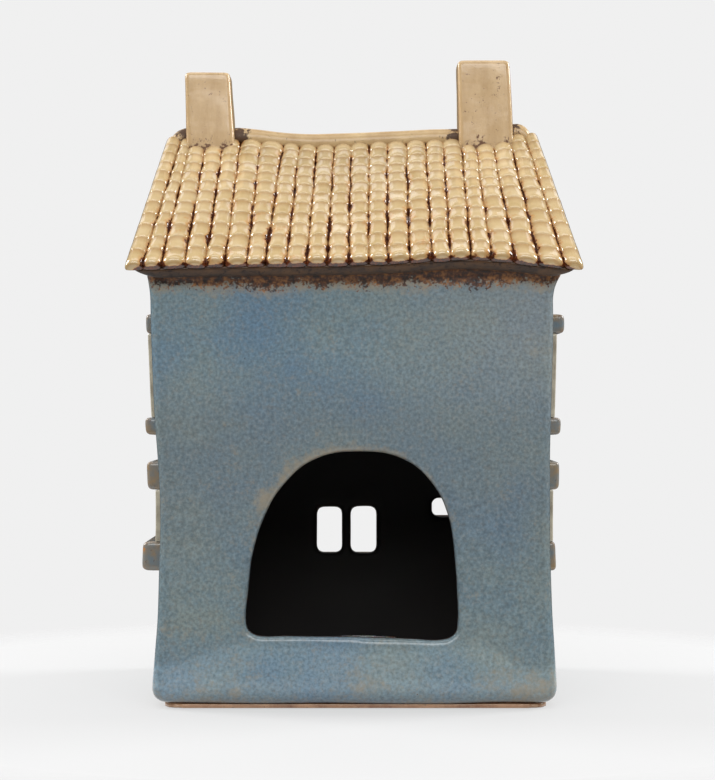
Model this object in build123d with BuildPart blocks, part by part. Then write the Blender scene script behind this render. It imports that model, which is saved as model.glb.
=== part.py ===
from build123d import *
import math
import os

os.makedirs("parts", exist_ok=True)

# A hand-built pottery cottage that holds a tealight. All lengths are in millimetres.
# The arch for the tealight faces -Y and the front door faces +Y. Left is -X, right is +X.
# The origin is at the middle of the foot, on the surface that the house stands on.

# Walls
body_width = 119.0
body_depth = 96.0
wall_height = 128.5
wall_thick = 5.0
corner_radius = 5.0
foot_rounding = 4.0
gable_lean = 4.5

# Floor slab
rim_height = 1.2
rim_inset = 3.0
floor_top = 3.8

# Arch
arch_x = -1.0
arch_width = 62.0
arch_height = 54.0
arch_sill = 21.4
arch_corner = 3.5

# Roof slabs
roof_pitch_degrees = 39.0
slab_thick = 4.0
eaves_overhang = 6.0
eaves_past_wall = 8.0
ridge_past_gable = 5.0
slab_corner = 5.0
cove_size_share = 0.7
cove_hollow_share = 0.3

# Tiles and rolls on the roof
tile_columns = 20
tile_courses = 12
tile_step = 0.55
tile_gap = 0.15
tile_overhang = 0.8
course_shrink_share = 0.72
verge_width = 5.0
ridge_roll_radius = 3.4
ridge_roll_lift = 1.1
ridge_roll_rounding = 1.2
ridge_roll_inset = 1.5

# Chimneys
left_chimney_inset = 14.6
left_chimney_width = 15.6
left_chimney_rise = 21.3
right_chimney_inset = 18.8
right_chimney_width = 17.8
right_chimney_rise = 25.0
chimney_depth = 13.0
chimney_corner = 2.0
chimney_lip = 1.4
chimney_taper_degrees = 1.0

# Windows
light_width = 8.9
light_corner = 1.8
mullion_width = 2.5
frame_margin = 3.0
frame_rail = 2.2
frame_proud = 2.0
frame_corner = 1.0
ledge_edge = 1.1
ledge_past_frame = 2.0
front_bays = 3
left_of_bays_share = 0.2794
between_bays_share = 0.1103
ground_frame_bottom = 36.9
ground_frame_height = 20.2
upper_frame_height = 24.0
upper_lift_share = 0.534
front_lintel_height = 4.6
front_lintel_proud = 4.2
front_sill_height = 3.6
front_sill_proud = 4.6

# Side windows
side_lower_frame_height = 15.8
side_upper_frame_height = 25.6
side_lower_hood_height = 8.8
side_upper_lintel_height = 6.0
side_lower_sill_height = 9.0
side_upper_sill_height = 5.4
side_lintel_proud = 5.2
side_sill_proud = 5.0
side_below_share = 0.663
side_between_share = 0.138
shutter_width = 8.0
shutter_thick = 2.4
shutter_gap = 0.3
shutter_stile = 1.3
slat_pitch = 2.4
slat_height = 1.3
slat_proud = 0.9

# Front door
door_width = 16.4
door_height = 54.4
door_thick = 1.8
pane_width = 8.7
pane_height = 5.8
pane_below_top = 4.0
pane_corner = 1.4
surround_width = 2.4
surround_proud = 2.8
canopy_height = 3.2
canopy_proud = 5.3
canopy_past_surround = 1.6
step_width = 25.0
step_height = 5.8
step_proud = 5.2
knob_radius = 1.3
knob_neck_radius = 0.6
knob_neck_length = 0.8
knob_height = 26.0
knob_inset = 2.6

# Tealight
tealight_y = -2.0
cup_radius = 19.0
cup_height = 10.5
cup_wall = 0.4
cup_bead = 0.5
wax_below_rim = 1.5
wick_radius = 0.7
wick_free = 2.5
sustainer_radius = 6.0
sustainer_thick = 0.3
sustainer_neck_radius = 1.3
sustainer_neck_height = 3.0
sill_clearance = 1.2
arch_clearance = 3.0

# How far each cut runs past the faces that it goes through
overrun = 2.0

# Worked out from the sizes above
half_width = body_width / 2
half_depth = body_depth / 2
inner_width = body_width - 2 * wall_thick
inner_depth = body_depth - 2 * wall_thick
eaves_half_length = half_width + eaves_past_wall
ridge_half_length = half_width - gable_lean + ridge_past_gable
pitch_sin = math.sin(math.radians(roof_pitch_degrees))
pitch_cos = math.cos(math.radians(roof_pitch_degrees))
pitch_tan = pitch_sin / pitch_cos
eaves_reach = half_depth + eaves_overhang
eaves_z = wall_height + slab_thick / pitch_cos - eaves_overhang * pitch_tan
ridge_z = eaves_z + eaves_reach * pitch_tan
slope_length = eaves_reach / pitch_cos
gable_rise = ridge_z - wall_height
gable_taper = math.degrees(math.atan2(gable_lean, gable_rise))
cove_size = cove_size_share * eaves_overhang
left_chimney_x = left_chimney_inset - ridge_half_length
right_chimney_x = ridge_half_length - right_chimney_inset
door_bottom = rim_height + step_height
pane_bottom = door_bottom + door_height - pane_below_top - pane_height
frame_width = 2 * light_width + mullion_width + 2 * frame_margin
# The front bays share out the width of the wall that their sills leave free
front_ledge_width = frame_width + 2 * ledge_past_frame
front_spare = body_width - front_bays * front_ledge_width
bay_spacing = front_ledge_width + front_spare * between_bays_share
first_bay_x = front_ledge_width / 2 + front_spare * left_of_bays_share - half_width
middle_bay_x = first_bay_x + bay_spacing
door_x = middle_bay_x + bay_spacing
# The upper front windows stand between the canopy of the door and the eaves cove
canopy_bottom = door_bottom + door_height + surround_width
canopy_top = canopy_bottom + canopy_height
upper_unit = front_sill_height + upper_frame_height + front_lintel_height
upper_spare = wall_height - cove_size - canopy_top - upper_unit
upper_frame_bottom = canopy_top + upper_spare * upper_lift_share + front_sill_height
# The side windows share out the height of the wall that they leave free
side_lower_unit = side_lower_sill_height + side_lower_frame_height + side_lower_hood_height
side_upper_unit = side_upper_sill_height + side_upper_frame_height + side_upper_lintel_height
side_spare = wall_height - side_lower_unit - side_upper_unit
side_lower_bottom = side_spare * side_below_share
side_upper_bottom = side_lower_bottom + side_lower_unit + side_spare * side_between_share
# The tiles stop short of the ridge roll
roll_reach = ridge_roll_radius - ridge_roll_lift * pitch_sin
tile_length = slope_length - roll_reach - tile_gap + tile_overhang

BACK = (0, -1)
FRONT = (0, 1)
LEFT = (-1, 0)
RIGHT = (1, 0)


def save(piece, label):
    """Name a finished piece and write it as its own file."""
    piece.part.label = label
    export_step(piece.part, f"parts/{label}.step")


def slope_plane(facing):
    """Top face of a roof slab: x runs along the eaves and y runs up the slope."""
    return Plane(
        origin=(0, facing * eaves_reach, eaves_z),
        x_dir=(-facing, 0, 0),
        z_dir=(0, facing * pitch_sin, pitch_cos),
    )


def mitre_plane(side_x, side_y):
    """Upright plane through a corner of the walls, halfway between the two walls."""
    corner = (side_x * half_width, side_y * half_depth, 0)
    return Plane(origin=corner, z_dir=(-side_x, side_y, 0))


def face_plane(facing, along, height):
    """Plane on the outside of a wall: x runs level along the wall and y runs up."""
    x, y = facing
    out = half_depth if x == 0 else half_width
    origin = (x * out - y * along, y * out + x * along, height)
    return Plane(origin=origin, x_dir=(-y, x, 0), z_dir=(x, y, 0))


def wall_ring():
    """The four walls in one piece, before they are parted at the corners."""
    with BuildPart() as ring:
        with BuildSketch(Plane.XY.offset(rim_height)):
            RectangleRounded(body_width, body_depth, corner_radius)
        extrude(amount=wall_height - rim_height)
        fillet(ring.edges().group_by(Axis.Z)[0], foot_rounding)
        with BuildSketch(Plane.XY.offset(wall_height)):
            RectangleRounded(body_width, body_depth, corner_radius)
        extrude(amount=gable_rise, taper=gable_taper)
        with BuildSketch(Plane.XY.offset(rim_height)):
            Rectangle(inner_width, inner_depth)
        extrude(amount=wall_height - rim_height, mode=Mode.SUBTRACT)
        with BuildSketch(Plane.XY.offset(wall_height)):
            Rectangle(inner_width, inner_depth)
        extrude(amount=gable_rise, taper=gable_taper, mode=Mode.SUBTRACT)
        for facing in (-1, 1):
            split(bisect_by=slope_plane(facing).offset(-slab_thick), keep=Keep.BOTTOM)
    return ring.part


def window_lights(plane, frame_height):
    """The two openings of a window, as faces on the wall."""
    light_height = frame_height - 2 * frame_rail
    with BuildSketch(plane) as lights:
        with GridLocations(light_width + mullion_width, 0, 2, 1):
            RectangleRounded(light_width, light_height, light_corner)
    return lights.sketch


# Windows: name, wall, place along the wall, bottom and height of the frame
ground, upper = ground_frame_bottom, upper_frame_bottom
front_windows = [
    ("front_ground_middle", FRONT, -middle_bay_x, ground, ground_frame_height),
    ("front_upper_left", FRONT, -first_bay_x, upper, upper_frame_height),
    ("front_upper_middle", FRONT, -middle_bay_x, upper, upper_frame_height),
    ("front_upper_right", FRONT, -door_x, upper, upper_frame_height),
]
side_windows = [
    (f"{side}_{storey}", wall, 0, bottom, height)
    for side, wall in (("left", LEFT), ("right", RIGHT))
    for storey, bottom, height in (
        ("lower", side_lower_bottom + side_lower_sill_height, side_lower_frame_height),
        ("upper", side_upper_bottom + side_upper_sill_height, side_upper_frame_height),
    )
]
# Lintel height, lintel proud, sill height, sill proud
ledges = {
    "front_ground": (front_lintel_height, front_lintel_proud, front_sill_height, front_sill_proud),
    "front_upper": (front_lintel_height, front_lintel_proud, front_sill_height, front_sill_proud),
    "lower": (side_lower_hood_height, side_lintel_proud, side_lower_sill_height, side_sill_proud),
    "upper": (side_upper_lintel_height, side_lintel_proud, side_upper_sill_height, side_sill_proud),
}

# Floor slab: a plug inside the walls on a wider rim that the walls stand on
with BuildPart() as base_slab:
    with BuildSketch():
        RectangleRounded(
            body_width - 2 * rim_inset,
            body_depth - 2 * rim_inset,
            corner_radius,
        )
    extrude(amount=rim_height)
    with BuildSketch(Plane.XY.offset(rim_height)):
        Rectangle(inner_width, inner_depth)
    extrude(amount=floor_top - rim_height)
save(base_slab, "base_slab")

# Back wall with the arch
with BuildPart() as back_wall:
    add(wall_ring())
    for side in (-1, 1):
        split(bisect_by=mitre_plane(side, -1), keep=Keep.TOP)
    with BuildSketch(face_plane(BACK, arch_x, arch_sill)):
        with BuildLine():
            half = arch_width / 2
            spring = arch_height - half
            Polyline((-half, spring), (-half, 0), (half, 0), (half, spring))
            ThreePointArc((half, spring), (0, arch_height), (-half, spring))
        arch_face = make_face()
        fillet(arch_face.vertices().group_by(Axis.Z)[0], arch_corner)
    extrude(amount=-wall_thick - overrun, mode=Mode.SUBTRACT)
save(back_wall, "back_wall")

# Front wall with its windows and the pane of the door
with BuildPart() as front_wall:
    add(wall_ring())
    for side in (-1, 1):
        split(bisect_by=mitre_plane(side, 1), keep=Keep.TOP)
    for name, wall, along, bottom, height in front_windows:
        lights = window_lights(face_plane(wall, along, bottom + height / 2), height)
        extrude(lights, amount=-wall_thick - overrun, mode=Mode.SUBTRACT)
    with BuildSketch(face_plane(FRONT, -door_x, pane_bottom + pane_height / 2)):
        RectangleRounded(pane_width, pane_height, pane_corner)
    extrude(amount=-wall_thick - overrun, mode=Mode.SUBTRACT)
save(front_wall, "front_wall")

# Gable walls
for side_name, side in (("left", -1), ("right", 1)):
    with BuildPart() as gable_wall:
        add(wall_ring())
        for end in (-1, 1):
            split(bisect_by=mitre_plane(side, end), keep=Keep.BOTTOM)
        for name, wall, along, bottom, height in side_windows:
            if wall[0] == side:
                lights = window_lights(face_plane(wall, along, bottom + height / 2), height)
                extrude(lights, amount=-wall_thick - overrun, mode=Mode.SUBTRACT)
    save(gable_wall, f"{side_name}_wall")

# Roof slabs, with rounded lower corners
for slope_name, facing in (("back", -1), ("front", 1)):
    with BuildPart() as roof_slab:
        with BuildSketch(slope_plane(facing)):
            with BuildLine():
                Polyline(
                    (-eaves_half_length, 0),
                    (eaves_half_length, 0),
                    (ridge_half_length, slope_length),
                    (-ridge_half_length, slope_length),
                    close=True,
                )
            slab_face = make_face()
            fillet(slab_face.vertices().group_by(Axis.Z)[0], slab_corner)
        extrude(amount=-slab_thick)
        split(bisect_by=Plane.XZ, keep=Keep.TOP if facing < 0 else Keep.BOTTOM)
    save(roof_slab, f"{slope_name}_roof_slab")


def chimney_footprints():
    """Upright blocks where the chimneys stand, to cut from the tiles and the ridge roll."""
    with BuildPart() as blocks:
        for x, width in (
            (left_chimney_x, left_chimney_width),
            (right_chimney_x, right_chimney_width),
        ):
            with Locations((x, 0, ridge_z)):
                Box(width, chimney_depth, chimney_depth * 2)
    return blocks.part


def course_shares():
    """Where each course of tiles starts, as a share of the column, shorter to the ridge."""
    last = tile_courses - 1
    weights = [1 - (1 - course_shrink_share) * n / last for n in range(tile_courses)]
    return [sum(weights[:n]) / sum(weights) for n in range(tile_courses + 1)]


def half_span(up):
    """Half the length of a slab, at a distance up its slope."""
    return eaves_half_length + (ridge_half_length - eaves_half_length) * up / slope_length


# Tiles: columns of half-round tiles that step at each course and close up to the ridge
shares = course_shares()
low, high = -tile_overhang, tile_length - tile_overhang
low_pitch = 2 * (half_span(low) - verge_width) / tile_columns
high_pitch = 2 * (half_span(high) - verge_width) / tile_columns
for slope_name, facing in (("back", -1), ("front", 1)):
    slope = slope_plane(facing)
    with BuildPart() as tiles:
        for column in range(tile_columns):
            place = column + 0.5 - tile_columns / 2
            start = slope.from_local_coords((place * low_pitch, low, 0))
            end = slope.from_local_coords((place * high_pitch, high, 0))
            run = Vector(end) - Vector(start)
            outline = [(0, 0)]
            for course in range(tile_courses):
                for share, drop in ((shares[course], 0), (shares[course + 1], tile_step)):
                    pitch = low_pitch + (high_pitch - low_pitch) * share
                    outline.append((run.length * share, pitch / 2 - tile_gap - drop))
            outline.append((run.length, 0))
            column_plane = Plane(origin=start, x_dir=run, z_dir=slope.z_dir)
            with BuildSketch(column_plane):
                with BuildLine():
                    Polyline(*outline, close=True)
                make_face()
            revolve(axis=Axis(start, run), revolution_arc=180)
        add(chimney_footprints(), mode=Mode.SUBTRACT)
    save(tiles, f"{slope_name}_roof_tiles")

# Verge rolls: half-round rolls with a round lower end, on the sloping edges of the slabs
verge_radius = verge_width / 2
for slope_name, facing in (("back", -1), ("front", 1)):
    slope = slope_plane(facing)
    with BuildPart() as verges:
        for side in (-1, 1):
            foot_x = side * (half_span(low) - verge_radius)
            head_x = side * (half_span(high) - verge_radius)
            start = slope.from_local_coords((foot_x, low, 0))
            run = Vector(slope.from_local_coords((head_x, high, 0))) - Vector(start)
            with BuildSketch(Plane(origin=start, x_dir=run, z_dir=slope.z_dir)):
                with BuildLine():
                    CenterArc((verge_radius, 0), verge_radius, 90, 90)
                    Polyline((verge_radius, verge_radius), (run.length, verge_radius),
                             (run.length, 0), (0, 0))
                make_face()
            revolve(axis=Axis(start, run), revolution_arc=180)
    save(verges, f"{slope_name}_verge_rolls")

# Eaves coves: coils of clay smoothed into the corner between a wall and its slab
for slope_name, facing in (("back", -1), ("front", 1)):
    with BuildPart() as cove:
        with BuildSketch(Plane.YZ):
            with BuildLine():
                corner = Vector(facing * half_depth, wall_height)
                on_wall = corner - Vector(0, cove_size)
                on_slab = corner + Vector(facing * pitch_cos, -pitch_sin) * cove_size
                middle = (on_wall + on_slab) / 2
                hollow = middle + (corner - middle) * cove_hollow_share
                Polyline(on_wall, corner, on_slab)
                ThreePointArc(on_slab, hollow, on_wall)
            make_face()
        extrude(amount=half_width - corner_radius, both=True)
    save(cove, f"{slope_name}_eaves_cove")

# Ridge roll, in three lengths between and beside the chimneys
with BuildPart() as ridge_roll:
    with BuildSketch(Plane.YZ):
        with Locations((0, ridge_z + ridge_roll_lift)):
            Circle(ridge_roll_radius)
        with BuildLine():
            skirt = ridge_roll_radius * 2
            Polyline(
                (0, ridge_z),
                (skirt, ridge_z - skirt * pitch_tan),
                (-skirt, ridge_z - skirt * pitch_tan),
                close=True,
            )
        make_face(mode=Mode.SUBTRACT)
    extrude(amount=ridge_half_length - ridge_roll_inset, both=True)
    ends = ridge_roll.faces().filter_by(Axis.X)
    fillet(ends.edges().filter_by(GeomType.CIRCLE), ridge_roll_rounding)
    add(chimney_footprints(), mode=Mode.SUBTRACT)
save(ridge_roll, "ridge_roll")

# Chimneys, each saddled over the ridge
for side_name, x, width, rise in (
    ("left", left_chimney_x, left_chimney_width, left_chimney_rise),
    ("right", right_chimney_x, right_chimney_width, right_chimney_rise),
):
    with BuildPart() as chimney:
        saddle = chimney_depth / 2 * pitch_tan
        with BuildSketch(Plane.XY.offset(ridge_z - saddle)):
            with Locations((x, 0)):
                RectangleRounded(width, chimney_depth, chimney_corner)
        extrude(amount=rise + saddle, taper=chimney_taper_degrees)
        fillet(chimney.faces().sort_by(Axis.Z)[-1].edges(), chimney_lip)
        with BuildSketch(Plane.YZ.offset(x)):
            with BuildLine():
                Polyline(
                    (0, ridge_z),
                    (chimney_depth, ridge_z - chimney_depth * pitch_tan),
                    (-chimney_depth, ridge_z - chimney_depth * pitch_tan),
                    close=True,
                )
            make_face()
        extrude(amount=width, both=True, mode=Mode.SUBTRACT)
    save(chimney, f"{side_name}_chimney")


def ledge(plane, width, height, proud):
    """A rounded clay strip on a wall, standing on the plane's x axis."""
    with BuildPart() as strip:
        with BuildSketch(plane):
            Rectangle(width, height, align=(Align.CENTER, Align.MIN))
        extrude(amount=proud)
        front_face = strip.faces().sort_by(Axis(plane.origin, plane.z_dir))[-1]
        fillet(front_face.edges(), min(ledge_edge, height / 3))
    return strip


# Windows: frame, lintel and sill, and a pair of louvred shutters on the side ones
for name, wall, along, bottom, height in front_windows + side_windows:
    with_shutters = wall in (LEFT, RIGHT)
    storey = name.split("_")[1]
    kind = storey if with_shutters else f"front_{storey}"
    lintel_height, lintel_proud, sill_height, sill_proud = ledges[kind]
    centre = face_plane(wall, along, bottom + height / 2)
    with BuildPart() as frame:
        with BuildSketch(centre):
            RectangleRounded(frame_width, height, frame_corner)
        extrude(amount=frame_proud)
        extrude(window_lights(centre, height), amount=frame_proud, mode=Mode.SUBTRACT)
    save(frame, f"{name}_window_frame")

    past_frame = shutter_width + shutter_gap if with_shutters else ledge_past_frame
    ledge_width = frame_width + 2 * past_frame
    lintel_plane = face_plane(wall, along, bottom + height)
    save(ledge(lintel_plane, ledge_width, lintel_height, lintel_proud), f"{name}_window_lintel")
    sill_plane = face_plane(wall, along, bottom - sill_height)
    save(ledge(sill_plane, ledge_width, sill_height, sill_proud), f"{name}_window_sill")

    if with_shutters:
        slats = int((height - 2 * shutter_stile) // slat_pitch)
        shutter_offset = frame_width / 2 + shutter_gap + shutter_width / 2
        with BuildPart() as shutters:
            with BuildSketch(centre):
                with GridLocations(2 * shutter_offset, 0, 2, 1):
                    Rectangle(shutter_width, height)
            extrude(amount=shutter_thick)
            with BuildSketch(centre.offset(shutter_thick)):
                with GridLocations(2 * shutter_offset, slat_pitch, 2, slats):
                    Rectangle(shutter_width - 2 * shutter_stile, slat_height)
            extrude(amount=slat_proud)
        save(shutters, f"{name}_window_shutters")

# Front door: leaf with a small pane, surround, canopy, step and knob
door_foot = face_plane(FRONT, -door_x, door_bottom)
with BuildPart() as door_leaf:
    with BuildSketch(door_foot):
        Rectangle(door_width, door_height, align=(Align.CENTER, Align.MIN))
    extrude(amount=door_thick)
    with BuildSketch(face_plane(FRONT, -door_x, pane_bottom + pane_height / 2)):
        RectangleRounded(pane_width, pane_height, pane_corner)
    extrude(amount=door_thick, mode=Mode.SUBTRACT)
save(door_leaf, "door_leaf")

surround_outer = door_width + 2 * surround_width
with BuildPart() as door_surround:
    with BuildSketch(door_foot):
        Rectangle(surround_outer, door_height + surround_width, align=(Align.CENTER, Align.MIN))
        Rectangle(door_width, door_height, align=(Align.CENTER, Align.MIN), mode=Mode.SUBTRACT)
    extrude(amount=surround_proud)
save(door_surround, "door_surround")

canopy_plane = face_plane(FRONT, -door_x, canopy_bottom)
canopy_width = surround_outer + 2 * canopy_past_surround
save(ledge(canopy_plane, canopy_width, canopy_height, canopy_proud), "door_canopy")

step_plane = face_plane(FRONT, -door_x, rim_height)
save(ledge(step_plane, step_width, step_height, step_proud), "door_step")

knob_along = door_width / 2 - knob_inset - door_x
knob_plane = face_plane(FRONT, knob_along, door_bottom + knob_height)
with BuildPart() as door_knob:
    with BuildSketch(knob_plane.offset(door_thick)):
        Circle(knob_neck_radius)
    extrude(amount=knob_neck_length + knob_radius)
    with Locations(knob_plane.offset(door_thick + knob_neck_length + knob_radius)):
        Sphere(knob_radius)
save(door_knob, "door_knob")

# Tealight, standing on the floor slab
cup_foot = Plane((0, tealight_y, floor_top))
with BuildPart() as tealight_cup:
    with BuildSketch(cup_foot):
        Circle(cup_radius)
    extrude(amount=cup_height)
    with BuildSketch(cup_foot.offset(cup_height - cup_bead)):
        Circle(cup_radius + cup_bead)
    extrude(amount=cup_bead)
    with BuildSketch(cup_foot.offset(cup_wall)):
        Circle(cup_radius - cup_wall)
    extrude(amount=cup_height, mode=Mode.SUBTRACT)
save(tealight_cup, "tealight_cup")

cup_floor = cup_foot.offset(cup_wall)
wax_height = cup_height - cup_wall - wax_below_rim
with BuildPart() as wick_sustainer:
    with BuildSketch(cup_floor):
        Circle(sustainer_radius)
    extrude(amount=sustainer_thick)
    with BuildSketch(cup_floor):
        Circle(sustainer_neck_radius)
    extrude(amount=sustainer_neck_height)
    with BuildSketch(cup_floor):
        Circle(wick_radius)
    extrude(amount=sustainer_neck_height, mode=Mode.SUBTRACT)
save(wick_sustainer, "wick_sustainer")

with BuildPart() as wick:
    with BuildSketch(cup_floor):
        Circle(wick_radius)
    extrude(amount=wax_height + wick_free)
save(wick, "wick")

with BuildPart() as tealight_wax:
    with BuildSketch(cup_floor):
        Circle(cup_radius - cup_wall)
    extrude(amount=wax_height)
    add(wick_sustainer.part, mode=Mode.SUBTRACT)
    add(wick.part, mode=Mode.SUBTRACT)
save(tealight_wax, "tealight_wax")

# The line on which the tealight leaves: up over the sill and out through the arch
lift = arch_sill - floor_top + sill_clearance
level_run = half_depth - wall_thick + tealight_y - cup_radius - cup_bead
exit_angle = math.degrees(math.atan2(lift, level_run))
exit_run = half_depth + tealight_y + cup_radius + cup_bead + arch_clearance
exit_length = exit_run / math.cos(math.radians(exit_angle))
print(f"tealight leaves at {exit_angle:.2f} degrees for {exit_length:.2f} mm")
print(f"ridge at {ridge_z:.2f} mm, slope {slope_length:.2f} mm, eaves at {eaves_z:.2f} mm")
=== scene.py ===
"""Looks of a hand-built pottery tealight house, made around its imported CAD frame."""

import logging
import math
import random
from contextlib import contextmanager
from dataclasses import dataclass, field
from enum import Enum
from typing import Callable, Iterator

import bmesh
import bpy
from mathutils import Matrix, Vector


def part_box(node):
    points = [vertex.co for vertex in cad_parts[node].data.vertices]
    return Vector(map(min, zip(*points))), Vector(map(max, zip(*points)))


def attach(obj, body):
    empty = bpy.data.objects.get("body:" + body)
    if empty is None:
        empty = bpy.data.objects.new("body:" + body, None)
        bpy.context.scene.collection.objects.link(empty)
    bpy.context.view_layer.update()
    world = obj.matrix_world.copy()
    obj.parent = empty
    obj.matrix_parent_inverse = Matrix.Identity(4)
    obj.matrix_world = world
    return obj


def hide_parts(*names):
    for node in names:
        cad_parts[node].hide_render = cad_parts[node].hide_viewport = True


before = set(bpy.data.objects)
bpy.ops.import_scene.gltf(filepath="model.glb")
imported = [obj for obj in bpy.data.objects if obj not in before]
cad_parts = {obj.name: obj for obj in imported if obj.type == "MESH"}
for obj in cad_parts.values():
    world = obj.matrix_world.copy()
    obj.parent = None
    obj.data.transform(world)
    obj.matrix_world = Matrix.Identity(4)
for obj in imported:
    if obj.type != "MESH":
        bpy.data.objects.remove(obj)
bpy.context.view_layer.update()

MM = 0.001
Piece = bpy.types.Object
Socket = bpy.types.NodeSocket
Point = tuple[float, float, float]

# The body of the frame that every new piece rides on
HOUSE = "house"
# Driving sizes that the walls, the roof and the trim share
HALF_WIDTH = 59.5 * MM
HALF_DEPTH = 48 * MM
RIDGE_Z = 172.52 * MM
PITCH = math.radians(39)
SLAB = 4 * MM
# How far a piece that is luted on goes into its neighbour, so that no gap shows
SEAT = 1.2 * MM
# Points nearer than this are one point, and faces nearer than this are one face
SAME_POINT = 0.005 * MM
SAME_FACE = 0.05 * MM
# A direction whose share along an axis is more than this runs along it
ALONG = 0.9

log = logging.getLogger("tealight_house")


class Slot(Enum):
    """The material slots of the record."""

    WALL = "blue_crackle_glaze"
    ROOF = "honey_roof_glaze"
    DARK = "dark_edge_glaze"
    RUST = "rust_base_glaze"
    TRIM = "cream_trim_glaze"
    SHUTTER = "shutter_glaze"
    DOOR = "door_glaze"
    CUP = "aluminium_cup"
    WAX = "paraffin_wax"
    TIN = "tinned_sustainer"
    WICK = "cotton_wick"


def linear(hex_colour: str) -> tuple[float, float, float, float]:
    """Turn an sRGB colour into the linear values that a shader wants.

    Args:
        hex_colour: Six hex digits, with or without a leading mark.

    Returns:
        Red, green, blue and an alpha of one.
    """
    digits = hex_colour.lstrip("#")
    shares = [int(digits[n:n + 2], 16) / 255 for n in (0, 2, 4)]
    values = [s / 12.92 if s <= 0.04045 else ((s + 0.055) / 1.055) ** 2.4 for s in shares]
    return (*values, 1.0)


class NodeSketch:
    """The node tree of one material or world while it is put together."""

    def __init__(self, owner: bpy.types.Material | bpy.types.World) -> None:
        """Start with an empty tree.

        Args:
            owner: The material or world that the nodes belong to.
        """
        owner.use_nodes = True
        self.owner = owner
        self.tree = owner.node_tree
        self.tree.nodes.clear()

    def add(self, kind: str, inputs: dict[int | str, object] | None = None, out: int | str = 0,
            stops: tuple[tuple[float, str], ...] = (), **settings: object) -> Socket | None:
        """Add one node with its settings and links.

        Args:
            kind: The node's kind, without the word ShaderNode.
            inputs: Values, or outputs of other nodes, by the input's name or number.
            out: Name or number of the output to hand back.
            stops: Places and hex colours of a colour ramp.
            settings: Properties of the node.

        Returns:
            The output of the new node, or nothing where the node has none.
        """
        node = self.tree.nodes.new("ShaderNode" + kind)
        for key, value in settings.items():
            setattr(node, key, value)
        for key, value in (inputs or {}).items():
            if isinstance(value, Socket):
                self.tree.links.new(value, node.inputs[key])
            else:
                node.inputs[key].default_value = value
        if stops:
            ramp = node.color_ramp.elements
            while len(ramp) < len(stops):
                ramp.new(0.5)
            for element, (place, colour) in zip(ramp, stops):
                element.position = place
                element.color = linear(colour)
        return node.outputs[out] if node.outputs else None

    def finish(self, surface: Socket) -> bpy.types.Material:
        """Wire the surface to the output and hand back the material.

        Args:
            surface: Shader output of the last node.

        Returns:
            The finished material.
        """
        self.add("OutputMaterial", {"Surface": surface})
        return self.owner


@dataclass(frozen=True)
class WallPlaces:
    """Outputs that say where a point of the walls is, and the grain that frays each border."""

    where: Socket
    x: Socket
    z: Socket
    # How near a point is to the left or right side of the house
    side: Socket
    # Height above the floor, less the rise of the roof from the eaves to the point
    height: Socket
    fleck: Socket


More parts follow.
